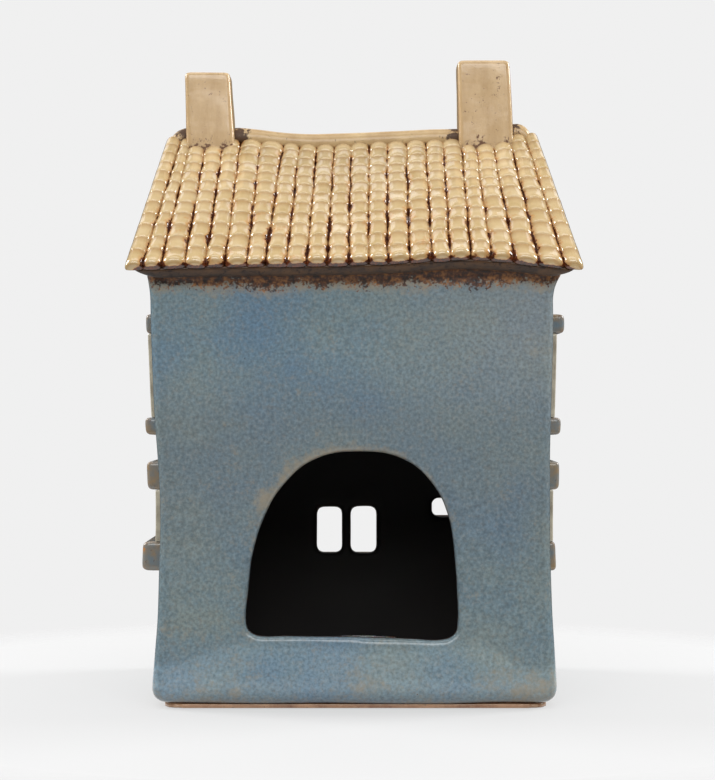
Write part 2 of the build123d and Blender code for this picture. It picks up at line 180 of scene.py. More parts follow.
@dataclass(frozen=True)
class BlueCrackleGlaze:
    """Reactive glaze poured over stoneware: it breaks into grains and thins to tan."""

    name: str = "blue_reactive_glaze_poured"
    slot: Slot = Slot.WALL
    eaves_z: float = 127.2 * MM
    inside_shade_from: float = 2.2 * MM
    arch_middle: tuple[float, float] = (-1.0 * MM, 44.4 * MM)
    arch_radius: float = 31 * MM

    def material(self) -> bpy.types.Material:
        """Make the glaze: grey-blue clouds in fine grains, a painted floor reflection along the foot, rust
        under the eaves, and painted shade inside.

        Returns:
            The finished material.
        """
        s = NodeSketch(bpy.data.materials.new(self.name))
        at = self.places(s)
        # Grains of about 1 mm in which the melt parts into lighter and darker drops
        grain = s.add("TexNoise", {"Vector": at.where, "Scale": 1 / (1.0 * MM),
                                   "Detail": 2.0, "Roughness": 0.6})
        shade = s.add("MapRange", {0: grain, 1: 0.28, 2: 0.72, 3: 0.73, 4: 1.25})
        # The foot of the wall is painted lighter, as a painted reflection of the floor
        coat = self.painted_floor_reflection(s, at, self.poured(s, at))
        coat = s.add("HueSaturation", {"Value": shade, "Color": coat})
        coat, rust = self.rusted(s, at, self.thinned(s, at, coat))
        coat, dark = self.painted_inside_shade(s, at, self.worn(s, at, coat))
        # The painted shade inside and the rust are dry, so they mirror little
        dry = s.add("Math", {0: dark, 1: rust}, operation="MAXIMUM")
        dull = s.add("MapRange", {0: dry, 3: 0.22, 4: 0.6})
        gloss = s.add("MapRange", {0: dry, 3: 0.4, 4: 0.0})
        peel = s.add("TexNoise", {"Vector": at.where, "Scale": 1 / (5 * MM), "Detail": 2.0})
        skin = s.add("Math", {0: grain, 1: 0.25, 2: peel}, operation="MULTIPLY_ADD")
        bump = s.add("Bump", {"Height": skin, "Strength": 0.14, "Distance": 0.5 * MM})
        return s.finish(s.add("BsdfPrincipled", {
            "Base Color": coat, "Roughness": dull, "IOR": 1.5, "Normal": bump,
            "Coat Weight": gloss, "Coat Roughness": 0.06}))

    def places(self, s: NodeSketch) -> WallPlaces:
        """Add the outputs that several layers of the glaze share.

        Args:
            s: The material's nodes.

        Returns:
            The outputs.
        """
        where = s.add("TexCoord", out="Object")
        x = s.add("SeparateXYZ", {0: where}, out="X")
        z = s.add("SeparateXYZ", {0: where}, out="Z")
        side = s.add("Math", {0: x}, operation="ABSOLUTE")
        side = s.add("MapRange", {0: side, 1: 36 * MM, 2: 52 * MM, 3: 0.25, 4: 0.75})
        height = s.add("Attribute", out="Fac", attribute_name="height")
        fleck = s.add("TexNoise", {"Vector": where, "Scale": 1 / (1.9 * MM),
                                   "Detail": 3.0, "Roughness": 0.75})
        return WallPlaces(where, x, z, side, height, fleck)

    def poured(self, s: NodeSketch, at: WallPlaces) -> Socket:
        """The poured glaze: broad clouds and tints, a greyer belt and a warmer corner.

        Args:
            s: The material's nodes.
            at: Where a point is.

        Returns:
            The colour.
        """
        # Broad clouds, some 34 mm across, where the glaze lies thick and blue or thin and grey
        cloud = s.add("TexNoise", {"Vector": at.where, "Scale": 1 / (34 * MM),
                                   "Detail": 4.0, "Roughness": 0.55})
        coat = s.add("ValToRGB", {0: cloud}, stops=(
            (0.32, "#627B8E"), (0.45, "#6A7F8B"), (0.57, "#718389"), (0.7, "#7B8785")))
        tint = s.add("TexNoise", {"Vector": at.where, "Scale": 1 / (1.4 * MM),
                                  "Detail": 3.0, "Roughness": 0.7})
        warm = s.add("MapRange", {0: tint, 1: 0.50, 2: 0.76, 3: 0.0, 4: 0.42})
        cool = s.add("MapRange", {0: tint, 1: 0.46, 2: 0.28, 3: 0.0, 4: 0.3})
        # The belt across the middle, and the corner at the top right
        belt = s.add("MapRange", {0: at.z, 1: 104 * MM, 2: 84 * MM, 3: 0.0, 4: 0.32})
        under = s.add("MapRange", {0: at.z, 1: 30 * MM, 2: 62 * MM, 3: 0.04, 4: 0.32})
        belt = s.add("Math", {0: belt, 1: under}, operation="MINIMUM")
        corner = s.add("MapRange", {0: at.x, 1: 0.0, 2: 50 * MM, 3: 0.0, 4: 0.36})
        high = s.add("MapRange", {0: at.z, 1: 80 * MM, 2: 105 * MM})
        corner = s.add("Math", {0: corner, 1: high}, operation="MULTIPLY")
        for share, colour in ((warm, "#8C867C"), (cool, "#58788F"), (belt, "#6E6F6C"), (corner, "#97948A")):
            coat = s.add("Mix", {0: share, 6: coat, 7: linear(colour)}, out=2, data_type="RGBA")
        return coat

    def painted_floor_reflection(self, s: NodeSketch, at: WallPlaces, coat: Socket) -> Socket:
        """Painted reflection of the pale floor: the wall is painted lighter along the foot, up to a wavy
        line.

        Args:
            s: The material's nodes.
            at: Where a point is.
            coat: The colour so far.

        Returns:
            The colour with the painted reflection of the floor.
        """
        wave = s.add("TexNoise", {"Vector": at.where, "Scale": 1 / (20 * MM), "Detail": 1.0})
        line = s.add("Math", {0: at.side, 1: 14 * MM, 2: at.z}, operation="MULTIPLY_ADD")
        line = s.add("Math", {0: wave, 1: 8 * MM, 2: line}, operation="MULTIPLY_ADD")
        # Painted reflection of the floor: lighter below the wavy line
        pale = s.add("MapRange", {0: line, 1: 28 * MM, 2: 25 * MM, 3: 1.0, 4: 1.28})
        return s.add("HueSaturation", {"Value": pale, "Color": coat})

    def thinned(self, s: NodeSketch, at: WallPlaces, coat: Socket) -> Socket:
        """The glaze thins to tan round the top of the arch, in the lower corners and in patches.

        Args:
            s: The material's nodes.
            at: Where a point is.
            coat: The colour so far.

        Returns:
            The colour with the tan places.
        """
        patch = s.add("TexNoise", {"Vector": at.where, "Scale": 1 / (15 * MM),
                                   "Detail": 3.0, "Roughness": 0.7})
        arch_x = s.add("Math", {0: at.x, 1: -self.arch_middle[0]}, operation="ADD")
        arch_up = s.add("Math", {0: at.z, 1: -self.arch_middle[1]}, operation="ADD")
        arch_up = s.add("Math", {0: arch_up, 1: 0.0}, operation="MAXIMUM")
        arm = s.add("CombineXYZ", {0: arch_x, 1: arch_up})
        ring = s.add("VectorMath", {0: arm}, out="Value", operation="LENGTH")
        near_arch = s.add("MapRange", {0: ring, 1: self.arch_radius + 4 * MM, 2: self.arch_radius})
        arch_top = s.add("MapRange", {0: at.z, 1: 46 * MM, 2: 70 * MM, 3: 0.1, 4: 1.0})
        near_arch = s.add("Math", {0: near_arch, 1: arch_top}, operation="MULTIPLY")
        low = s.add("MapRange", {0: at.z, 1: 17 * MM, 2: 2 * MM})
        corner = s.add("Math", {0: at.side, 1: low}, operation="MULTIPLY")
        near_eaves = s.add("MapRange", {0: at.height, 1: self.eaves_z - 8 * MM, 2: self.eaves_z - 3 * MM})
        thin = s.add("Math", {0: near_arch, 1: corner}, operation="MAXIMUM")
        thin = s.add("Math", {0: thin, 1: near_eaves}, operation="MAXIMUM")
        thin = s.add("Math", {0: thin, 1: 0.5, 2: patch}, operation="MULTIPLY_ADD")
        thin = s.add("Math", {0: at.fleck, 1: 0.8, 2: thin}, operation="MULTIPLY_ADD")
        tan = s.add("MapRange", {0: thin, 1: 1.03, 2: 1.36, 3: 0.0, 4: 0.75})
        return s.add("Mix", {0: tan, 6: coat, 7: linear("#978C78")}, out=2, data_type="RGBA")

    def rusted(self, s: NodeSketch, at: WallPlaces, coat: Socket) -> tuple[Socket, Socket]:
        """Iron that bled out of the dark slab: clumps of fine rust grains just under the eaves.

        Args:
            s: The material's nodes.
            at: Where a point is.
            coat: The colour so far.

        Returns:
            The colour with the rust, and how much rust there is.
        """
        speck = s.add("TexNoise", {"Vector": at.where, "Scale": 1 / (1.0 * MM),
                                   "Detail": 3.0, "Roughness": 0.7})
        clump = s.add("TexNoise", {"Vector": at.where, "Scale": 1 / (9 * MM),
                                   "Detail": 2.0, "Roughness": 0.5})
        core = s.add("MapRange", {0: at.height, 1: self.eaves_z - 6.5 * MM, 2: self.eaves_z - 2 * MM,
                                  3: 0.0, 4: 0.64})
        reach = s.add("MapRange", {0: at.height, 1: self.eaves_z - 10 * MM, 2: self.eaves_z - 6 * MM,
                                   3: -0.3, 4: 0.0})
        crowd = s.add("Math", {0: core, 1: reach}, operation="ADD")
        top = s.add("MapRange", {0: at.height, 1: self.eaves_z - 3.5 * MM, 2: self.eaves_z - 1 * MM,
                                 3: 0.0, 4: 0.12})
        crowd = s.add("Math", {0: crowd, 1: top}, operation="ADD")
        crowd = s.add("Math", {0: speck, 1: 1.7, 2: crowd}, operation="MULTIPLY_ADD")
        crowd = s.add("Math", {0: clump, 1: 1.3, 2: crowd}, operation="MULTIPLY_ADD")
        rust = s.add("MapRange", {0: crowd, 1: 1.76, 2: 1.90, 3: 0.0, 4: 0.93})
        iron = s.add("ValToRGB", {0: at.fleck}, stops=(
            (0.38, "#220E06"), (0.50, "#52290F"), (0.64, "#93602E")))
        return s.add("Mix", {0: rust, 6: coat, 7: iron}, out=2, data_type="RGBA"), rust

    def worn(self, s: NodeSketch, at: WallPlaces, coat: Socket) -> Socket:
        """A few dark specks of ilmenite, and sharp edges that hold little glaze and show the clay.

        Args:
            s: The material's nodes.
            at: Where a point is.
            coat: The colour so far.

        Returns:
            The colour with the specks and the edges.
        """
        # One speck of about 0.7 mm in each cell of 13 mm
        dot = s.add("TexVoronoi", {"Vector": at.where, "Scale": 1 / (13 * MM)}, out="Distance")
        kept = s.add("TexVoronoi", {"Vector": at.where, "Scale": 1 / (13 * MM)}, out="Color")
        kept = s.add("SeparateXYZ", {0: kept}, out="X")
        dot = s.add("Math", {0: kept, 1: 0.05, 2: dot}, operation="MULTIPLY_ADD")
        dot = s.add("MapRange", {0: dot, 1: 0.040, 2: 0.030, 3: 0.0, 4: 0.85})
        edge = s.add("NewGeometry", out="Pointiness")
        edge = s.add("MapRange", {0: edge, 1: 0.54, 2: 0.62, 3: 0.0, 4: 0.55})
        for share, colour in ((dot, "#2E1E16"), (edge, "#A39B8B")):
            coat = s.add("Mix", {0: share, 6: coat, 7: linear(colour)}, out=2, data_type="RGBA")
        return coat

    def painted_inside_shade(self, s: NodeSketch, at: WallPlaces, coat: Socket) -> tuple[Socket, Socket]:
        """The inside is painted near-black as painted shade, which starts just within each opening behind a
        brown band.

        Args:
            s: The material's nodes.
            at: Where a point is.
            coat: The colour so far.

        Returns:
            The colour with the painted shade inside, and where that shade lies.
        """
        inner = s.add("Attribute", out="Fac", attribute_name="depth")
        inner = s.add("Math", {0: inner, 1: self.inside_shade_from}, operation="ADD")
        inner = s.add("Math", {0: at.fleck, 1: 2.0 * MM, 2: inner}, operation="MULTIPLY_ADD")
        raised = s.add("MapRange", {0: at.z, 1: 3 * MM, 2: 6 * MM})
        bled = s.add("MapRange", {0: inner, 1: 1.9 * MM, 2: 1.2 * MM})
        bled = s.add("Math", {0: bled, 1: raised}, operation="MULTIPLY")
        # Near-black painted shade over the whole inside of the house
        dark = s.add("MapRange", {0: inner, 1: 1.3 * MM, 2: 0.5 * MM})
        dark = s.add("Math", {0: dark, 1: raised}, operation="MULTIPLY")
        for share, colour in ((bled, "#4A2A16"), (dark, "#0A0403")):
            coat = s.add("Mix", {0: share, 6: coat, 7: linear(colour)}, out=2, data_type="RGBA")
        return coat, dark


@dataclass(frozen=True)
class TileGlaze:
    """Honey-cream glaze on pressed tiles, pooled brown with iron in the grooves."""

    name: str = "honey_glaze_on_tiles"
    slot: Slot = Slot.ROOF

    def material(self) -> bpy.types.Material:
        """Make the glaze from the tiles' own attributes: crown height and lips.

        Returns:
            The finished material.
        """
        s = NodeSketch(bpy.data.materials.new(self.name))
        where = s.add("TexCoord", out="Object")
        crown = s.add("Attribute", out="Fac", attribute_name="crown")
        lip = s.add("Attribute", out="Fac", attribute_name="lip")
        cloud = s.add("TexNoise", {"Vector": where, "Scale": 1 / (8 * MM), "Detail": 4.0, "Roughness": 0.6})
        honey = s.add("ValToRGB", {0: cloud}, stops=((0.3, "#BFA473"), (0.5, "#CBB184"), (0.7, "#D3BC93")))
        # Iron gathers in broken runs some 6 mm long, with a ragged edge of 1 mm grains
        blot = s.add("TexNoise", {"Vector": where, "Scale": 1 / (6 * MM), "Detail": 3.0, "Roughness": 0.65})
        grit = s.add("TexNoise", {"Vector": where, "Scale": 1 / (1.2 * MM), "Detail": 2.0, "Roughness": 0.7})
        rough = s.add("Math", {0: blot, 1: -1.35, 2: crown}, operation="MULTIPLY_ADD")
        rough = s.add("Math", {0: grit, 1: -0.5, 2: rough}, operation="MULTIPLY_ADD")
        height = s.add("SeparateXYZ", {0: where}, out="Z")
        clean = s.add("MapRange", {0: height, 1: 132 * MM, 2: 172 * MM, 3: -0.05, 4: 0.12})
        rough = s.add("Math", {0: rough, 1: clean}, operation="ADD")
        amber = s.add("MapRange", {0: rough, 1: -0.12, 2: -0.38, 3: 0.0, 4: 0.8})
        # The foot of each lip is painted with a thin brown line, as painted shade under the lip's step
        line = s.add("Math", {0: lip, 1: 0.55}, operation="MULTIPLY")
        for share, colour in ((amber, "#C58A4C"), (line, "#A47E50")):
            honey = s.add("Mix", {0: share, 6: honey, 7: linear(colour)}, out=2, data_type="RGBA")
        groove = s.add("MapRange", {0: rough, 1: -0.36, 2: -0.43})
        iron = s.add("ValToRGB", {0: grit}, stops=((0.38, "#2E1307"), (0.64, "#6B3416")))
        honey = s.add("Mix", {0: groove, 6: honey, 7: iron}, out=2, data_type="RGBA")
        peel = s.add("TexNoise", {"Vector": where, "Scale": 1 / (2.5 * MM), "Detail": 2.0})
        bump = s.add("Bump", {"Height": peel, "Strength": 0.14, "Distance": 0.4 * MM})
        return s.finish(s.add("BsdfPrincipled", {
            "Base Color": honey, "Roughness": 0.2, "IOR": 1.5, "Normal": bump,
            "Coat Weight": 1.0, "Coat Roughness": 0.05}))


@dataclass(frozen=True)
class SlipGlaze:
    """Plain glossy glaze over clay, with clouds, edges of another colour and iron specks: the edges are thin
    glaze, and in the chimney and foot glazes also a painted highlight.
    """

    name: str
    slot: Slot
    low: str
    high: str
    edge: str
    iron: str
    cloud: float = 9 * MM
    specks: float = 0.74
    edge_share: float = 0.7
    roughness: float = 0.22
    streak: float = 1.0
    foot_z: float = -10 * MM
    coat: float = 0.4

    def material(self) -> bpy.types.Material:
        """Make the glaze from its four colours.

        Returns:
            The finished material.
        """
        s = NodeSketch(bpy.data.materials.new(self.name))
        where = s.add("TexCoord", out="Object")
        run = s.add("VectorMath", {0: where, 1: (1, 1, self.streak)}, operation="MULTIPLY")
        cloud = s.add("TexNoise", {"Vector": run, "Scale": 1 / self.cloud, "Detail": 4.0, "Roughness": 0.6})
        coat = s.add("ValToRGB", {0: cloud}, stops=((0.32, self.low), (0.68, self.high)))
        # Iron specks of about 1.3 mm, crowded in hollows and towards the foot of the piece
        speck = s.add("TexNoise", {"Vector": where, "Scale": 1 / (1.3 * MM),
                                   "Detail": 3.0, "Roughness": 0.75})
        # Convex edges take the edge colour: thin glaze, and in the chimney and foot glazes a painted
        # highlight too
        point = s.add("NewGeometry", out="Pointiness")
        edge = s.add("Math", {0: speck, 1: 0.08, 2: point}, operation="MULTIPLY_ADD")
        edge = s.add("MapRange", {0: edge, 1: 0.56, 2: 0.65, 3: 0.0, 4: self.edge_share})
        coat = s.add("Mix", {0: edge, 6: coat, 7: linear(self.edge)}, out=2, data_type="RGBA")
        hollow = s.add("MapRange", {0: point, 1: 0.47, 2: 0.40, 3: 0.0, 4: 0.9})
        dots = s.add("MapRange", {0: speck, 1: self.specks, 2: self.specks + 0.04, 3: 0.0, 4: 0.8})
        dark = s.add("Math", {0: hollow, 1: dots}, operation="MAXIMUM")
        height = s.add("SeparateXYZ", {0: where}, out="Z")
        foot = s.add("MapRange", {0: height, 1: self.foot_z + 5 * MM, 2: self.foot_z, 3: 0.0, 4: 0.42})
        pool = s.add("Attribute", out="Fac", attribute_name="pool")
        foot = s.add("Math", {0: pool, 1: 0.62, 2: foot}, operation="MULTIPLY_ADD")
        foot = s.add("Math", {0: foot, 1: cloud}, operation="ADD")
        foot = s.add("Math", {0: speck, 1: 1.3, 2: foot}, operation="MULTIPLY_ADD")
        foot = s.add("MapRange", {0: foot, 1: 1.42, 2: 1.56, 3: 0.0, 4: 0.92})
        dark = s.add("Math", {0: dark, 1: foot}, operation="MAXIMUM")
        coat = s.add("Mix", {0: dark, 6: coat, 7: linear(self.iron)}, out=2, data_type="RGBA")
        # Where the iron lies, the glaze is dry
        dull = s.add("MapRange", {0: dark, 3: self.roughness, 4: 0.6})
        gloss = s.add("MapRange", {0: dark, 3: self.coat, 4: 0.0})
        peel = s.add("TexNoise", {"Vector": where, "Scale": 1 / (3 * MM), "Detail": 3.0})
        bump = s.add("Bump", {"Height": peel, "Strength": 0.18, "Distance": 0.4 * MM})
        return s.finish(s.add("BsdfPrincipled", {
            "Base Color": coat, "Roughness": dull, "IOR": 1.5, "Normal": bump,
            "Coat Weight": gloss, "Coat Roughness": 0.05}))


@dataclass(frozen=True)
class PressedAluminium:
    """Bright foil drawn into a cup, with the fine ribs that the press leaves."""

    name: str = "aluminium_foil_pressed"
    slot: Slot = Slot.CUP
    rib: float = 2.4 * MM
    radius: float = 19 * MM
    middle: tuple[float, float] = (0.0, 0.0)

    def material(self) -> bpy.types.Material:
        """Make the foil: ribs run up the side, and the roughness varies with handling.

        Returns:
            The finished material.
        """
        s = NodeSketch(bpy.data.materials.new(self.name))
        where = s.add("TexCoord", out="Object")
        arm = s.add("VectorMath", {0: where, 1: (*self.middle, 0)}, operation="SUBTRACT")
        x = s.add("SeparateXYZ", {0: arm}, out="X")
        y = s.add("SeparateXYZ", {0: arm}, out="Y")
        turn = s.add("Math", {0: y, 1: x}, operation="ARCTAN2")
        count = round(math.tau * self.radius / self.rib)
        ribs = s.add("Math", {0: turn, 1: count}, operation="MULTIPLY")
        ribs = s.add("Math", {0: ribs}, operation="SINE")
        bump = s.add("Bump", {"Height": ribs, "Strength": 0.25, "Distance": 0.2 * MM})
        haze = s.add("TexNoise", {"Vector": where, "Scale": 1 / (4 * MM), "Detail": 3.0})
        haze = s.add("MapRange", {0: haze, 1: 0.3, 2: 0.7, 3: 0.2, 4: 0.36})
        return s.finish(s.add("BsdfPrincipled", {
            "Base Color": linear("#D9DBDC"), "Metallic": 1.0, "Roughness": haze, "Normal": bump}))


@dataclass(frozen=True)
class PlainStuff:
    """A soft or dull material whose surface has one grain, such as wax or cotton."""

    name: str
    slot: Slot
    low: str
    high: str
    grain: float
    roughness: float
    metallic: float = 0.0
    subsurface: float = 0.0

    def material(self) -> bpy.types.Material:
        """Make the material from its two colours and its grain.

        Returns:
            The finished material.
        """
        s = NodeSketch(bpy.data.materials.new(self.name))
        where = s.add("TexCoord", out="Object")
        value = s.add("TexNoise", {"Vector": where, "Scale": 1 / self.grain, "Detail": 3.0})
        colour = s.add("ValToRGB", {0: value}, stops=((0.35, self.low), (0.65, self.high)))
        bump = s.add("Bump", {"Height": value, "Strength": 0.2, "Distance": 0.2 * MM})
        return s.finish(s.add("BsdfPrincipled", {
            "Base Color": colour, "Roughness": self.roughness, "Metallic": self.metallic,
            "Normal": bump, "Subsurface Weight": self.subsurface, "Subsurface Scale": 3 * MM}))


@dataclass(frozen=True)
class LitAcrylic:
    """Opal acrylic of a light table, lit from below so that shadows stay faint."""

    name: str = "opal_acrylic_backlit"
    colour: str = "#828282"
    glow: float = 0.53
    solid_reach: float = 0.165
    fade_reach: float = 0.205

    def material(self) -> bpy.types.Material:
        """Make the acrylic, which fades away round its rim.

        Returns:
            The finished material.
        """
        s = NodeSketch(bpy.data.materials.new(self.name))
        where = s.add("TexCoord", out="Object")
        away = s.add("VectorMath", {0: where}, out="Value", operation="LENGTH")
        fade = s.add("MapRange", {0: away, 1: self.solid_reach, 2: self.fade_reach, 3: 1.0, 4: 0.0})
        unlit = s.add("LightPath", out="Is Diffuse Ray")
        glow = s.add("MapRange", {0: unlit, 3: self.glow, 4: 0.0})
        return s.finish(s.add("BsdfPrincipled", {
            "Base Color": linear(self.colour), "Roughness": 0.9, "Specular IOR Level": 0.1,
            "Emission Color": linear("#FFFFFF"), "Emission Strength": glow, "Alpha": fade}))


# The chimneys' pale edge colour is partly thin glaze and partly a painted highlight along their edges.
CREAM_CHIMNEY = SlipGlaze("cream_glaze_poured", Slot.ROOF, "#BA9B71", "#CDB087", "#E4CFA6", "#5E3517",
                          cloud=4 * MM, specks=0.65, edge_share=0.5, streak=0.3, foot_z=169.5 * MM)
CREAM_RIDGE = SlipGlaze("honey_glaze_rolled", Slot.ROOF, "#B4956A", "#CAAE80", "#D6BE92", "#3A1A08",
                        cloud=6 * MM, specks=0.66, edge_share=0.15, roughness=0.3, coat=0.15)
# The slabs' dark colour is partly dark brown glaze and partly painted shade under the eaves.
DARK_EDGE = SlipGlaze("dark_glaze_and_eaves_shade", Slot.DARK, "#28170A", "#553717", "#7A5732", "#1C0A04",
                      cloud=5 * MM, specks=0.58, edge_share=0.7, roughness=0.42, streak=3.0, coat=0.1)
# The foot's pale colours, its edge colour most of all, are partly iron glaze and partly a painted highlight
# from the floor.
RUST_FOOT = SlipGlaze("iron_glaze_wiped", Slot.RUST, "#83583F", "#B98C6A", "#E2C3A0", "#3A1C0E",
                      cloud=7 * MM)
CREAM_TRIM = SlipGlaze("cream_glaze_brushed", Slot.TRIM, "#94795A", "#C9B084", "#8A5429", "#3A1D0D",
                       cloud=5 * MM, specks=0.66, edge_share=0.8)
GREY_TRIM = SlipGlaze("grey_cream_glaze_over_iron", Slot.TRIM, "#74828A", "#9C8464", "#B9824E", "#43230F",
                      cloud=4 * MM, specks=0.64, edge_share=0.9)
SHUTTER = SlipGlaze("beige_glaze_brushed", Slot.SHUTTER, "#9C9280", "#CFC6B0", "#DED6C0", "#2B170D",
                    cloud=5 * MM, specks=0.66)
DOOR = SlipGlaze("brown_glaze_brushed", Slot.DOOR, "#5A3218", "#8A5530", "#B98555", "#2A140A",
                 cloud=8 * MM)
WAX = PlainStuff("paraffin_wax_cast", Slot.WAX, "#EFEAE0", "#F7F4EC", 6 * MM, 0.45, subsurface=0.5)
TIN = PlainStuff("tinned_steel_stamped", Slot.TIN, "#A9AAAC", "#C9CACC", 2 * MM, 0.35, metallic=1.0)
COTTON = PlainStuff("cotton_wick_braided", Slot.WICK, "#C9BFA8", "#EDE6D6", 0.4 * MM, 0.85)
Finish = BlueCrackleGlaze | TileGlaze | SlipGlaze | PressedAluminium | PlainStuff


@dataclass(frozen=True)
class Softening:
    """How the clay of a piece is worked over.

    The fields are the voxel size of the remesh, how often the surface is smoothed, how deep and
    how wide the unevenness of the hand is, and whether it only takes away.
    """

    grain: float
    passes: int
    lumps: float = 0.0
    lump_size: float = 15 * MM
    inwards: bool = True


def pick(piece: Piece) -> None:
    """Make one object the only one that is selected, and the active one.

    Args:
        piece: The object.
    """
    bpy.ops.object.select_all(action="DESELECT")
    piece.select_set(True)
    bpy.context.view_layer.objects.active = piece


@contextmanager
def editing(piece: Piece) -> Iterator[None]:
    """Edit mode on one piece, with nothing selected at first.

    Args:
        piece: The piece.

    Yields:
        Nothing, while the piece is edited.
    """
    pick(piece)
    bpy.ops.object.mode_set(mode="EDIT")
    bpy.ops.mesh.select_all(action="DESELECT")
    yield
    bpy.ops.object.mode_set(mode="OBJECT")


def choose_faces(piece: Piece, test: Callable[[Vector, Vector], bool]) -> None:
    """Select the faces of a piece in edit mode that pass a test.

    Args:
        piece: The piece in edit mode.
        test: Says yes or no from a face's middle and its normal.
    """
    bpy.ops.mesh.select_mode(type="FACE")
    bpy.ops.mesh.select_all(action="DESELECT")
    grid = bmesh.from_edit_mesh(piece.data)
    for face in grid.faces:
        if test(face.calc_center_median(), face.normal):
            face.select_set(True)
    bmesh.update_edit_mesh(piece.data)


def choose_edges(piece: Piece, test: Callable[[Vector, Vector], bool]) -> None:
    """Select the edges of a piece in edit mode that pass a test.

    Args:
        piece: The piece in edit mode.
        test: Says yes or no from an edge's middle and its direction.
    """
    bpy.ops.mesh.select_mode(type="EDGE")
    bpy.ops.mesh.select_all(action="DESELECT")
    grid = bmesh.from_edit_mesh(piece.data)
    for edge in grid.edges:
        low, high = (v.co for v in edge.verts)
        if test((low + high) / 2, (high - low).normalized()):
            edge.select_set(True)
    bmesh.update_edit_mesh(piece.data)


def work(piece: Piece, kind: str, **settings: object) -> None:
    """Apply one modifier to a piece.

    Args:
        piece: The piece.
        kind: Kind of the modifier.
        settings: Its settings.
    """
    pick(piece)
    modifier = piece.modifiers.new(kind.lower(), kind)
    for key, value in settings.items():
        setattr(modifier, key, value)
    bpy.ops.object.modifier_apply(modifier=modifier.name)


def settle(piece: Piece) -> None:
    """Put an object's place, turn and scale into its mesh."""
    pick(piece)
    bpy.ops.object.transform_apply(location=True, rotation=True, scale=True)


def add_block(name: str, low: Point, high: Point) -> Piece:
    """Add a block between two corners.

    Args:
        name: Name of the block.
        low: Lowest corner.
        high: Highest corner.

    Returns:
        The block, with its place in its mesh.
    """
    bpy.ops.object.select_all(action="DESELECT")
    middle = [(a + b) / 2 for a, b in zip(low, high)]
    bpy.ops.mesh.primitive_cube_add(size=1, location=middle)
    block = bpy.context.object
    block.name = name
    block.scale = [b - a for a, b in zip(low, high)]
    settle(block)
    return block


def carve(piece: Piece, cutter: Piece) -> None:
    """Cut one piece out of another and throw the cutter away."""
    work(piece, "BOOLEAN", object=cutter, operation="DIFFERENCE", solver="EXACT")
    bpy.data.objects.remove(cutter)


def unevenness(name: str, size: float) -> bpy.types.Texture:
    """Soft lumps of a given size, for hand-worked surfaces.

    Args:
        name: Name of the texture.
        size: Size of the lumps in metres.

    Returns:
        The texture.
    """
    lumps = bpy.data.textures.new(name, "CLOUDS")
    lumps.noise_scale = size
    lumps.noise_depth = 1
    return lumps


def soften(piece: Piece, way: Softening) -> None:
    """Work a piece over until its edges are as soft as glazed clay.

    Args:
        piece: The piece.
        way: How it is worked over.
    """
    work(piece, "REMESH", mode="VOXEL", voxel_size=way.grain, use_smooth_shade=True)
    work(piece, "SMOOTH", factor=0.5, iterations=way.passes)
    if way.lumps:
        work(piece, "DISPLACE", texture=unevenness(piece.name + "_lumps", way.lump_size),
             texture_coords="LOCAL", strength=way.lumps, mid_level=1.0 if way.inwards else 0.5)
    pick(piece)
    bpy.ops.object.shade_smooth()


def merged_copy(node: str, seat: Vector | None = None) -> Piece:
    """Copy a CAD node and merge its loose triangles.

    Args:
        node: Name of the CAD node.
        seat: How far the face against its neighbour goes into it, so that no gap shows.

    Returns:
        The new piece.
    """
    piece = bpy.data.objects.new(node + "_clay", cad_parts[node].data.copy())
    bpy.context.scene.collection.objects.link(piece)
    piece.data.materials.clear()
    with editing(piece):
        bpy.ops.mesh.select_all(action="SELECT")
        bpy.ops.mesh.remove_doubles(threshold=SAME_POINT)
    if seat:
        back = min(v.co.dot(-seat) for v in piece.data.vertices)
        for vertex in piece.data.vertices:
            if vertex.co.dot(-seat) < back + SAME_FACE * seat.length:
                vertex.co += seat
    return piece


def clay_copy(node: str, way: Softening, seat: Vector | None = None) -> Piece:
    """Copy a CAD node, merge it and soften its edges.

    Args:
        node: Name of the CAD node.
        way: How the copy is worked over.
        seat: How far the face against the wall goes into it.

    Returns:
        The new piece.
    """
    piece = merged_copy(node, seat)
    soften(piece, way)
    return piece


def material_of(finish: Finish) -> bpy.types.Material:
    """Make a finish's material, or find it if it is made already."""
    return bpy.data.materials.get(finish.name) or finish.material()


def dress(piece: Piece, finish: Finish, *replaced: str) -> None:
    """Give a new piece its finish, its body and the nodes that it stands for.

    Args:
        piece: The piece.
        finish: Its finish.
        replaced: The CAD nodes that it stands for.
    """
    piece.data.materials.clear()
    piece.data.materials.append(material_of(finish))
    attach(piece, HOUSE)
    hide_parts(*replaced)
    log.info("%s: %d faces", piece.name, len(piece.data.polygons))


def redress(node: str, finish: Finish) -> None:
    """Give a CAD node that stays its better material.

    Args:
        node: Name of the node.
        finish: Its finish.
    """
    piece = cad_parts[node]
    if piece.data.materials:
        piece.data.materials[0] = material_of(finish)
    else:
        piece.data.materials.append(material_of(finish))
    log.info("%s: kept, in %s", node, finish.name)


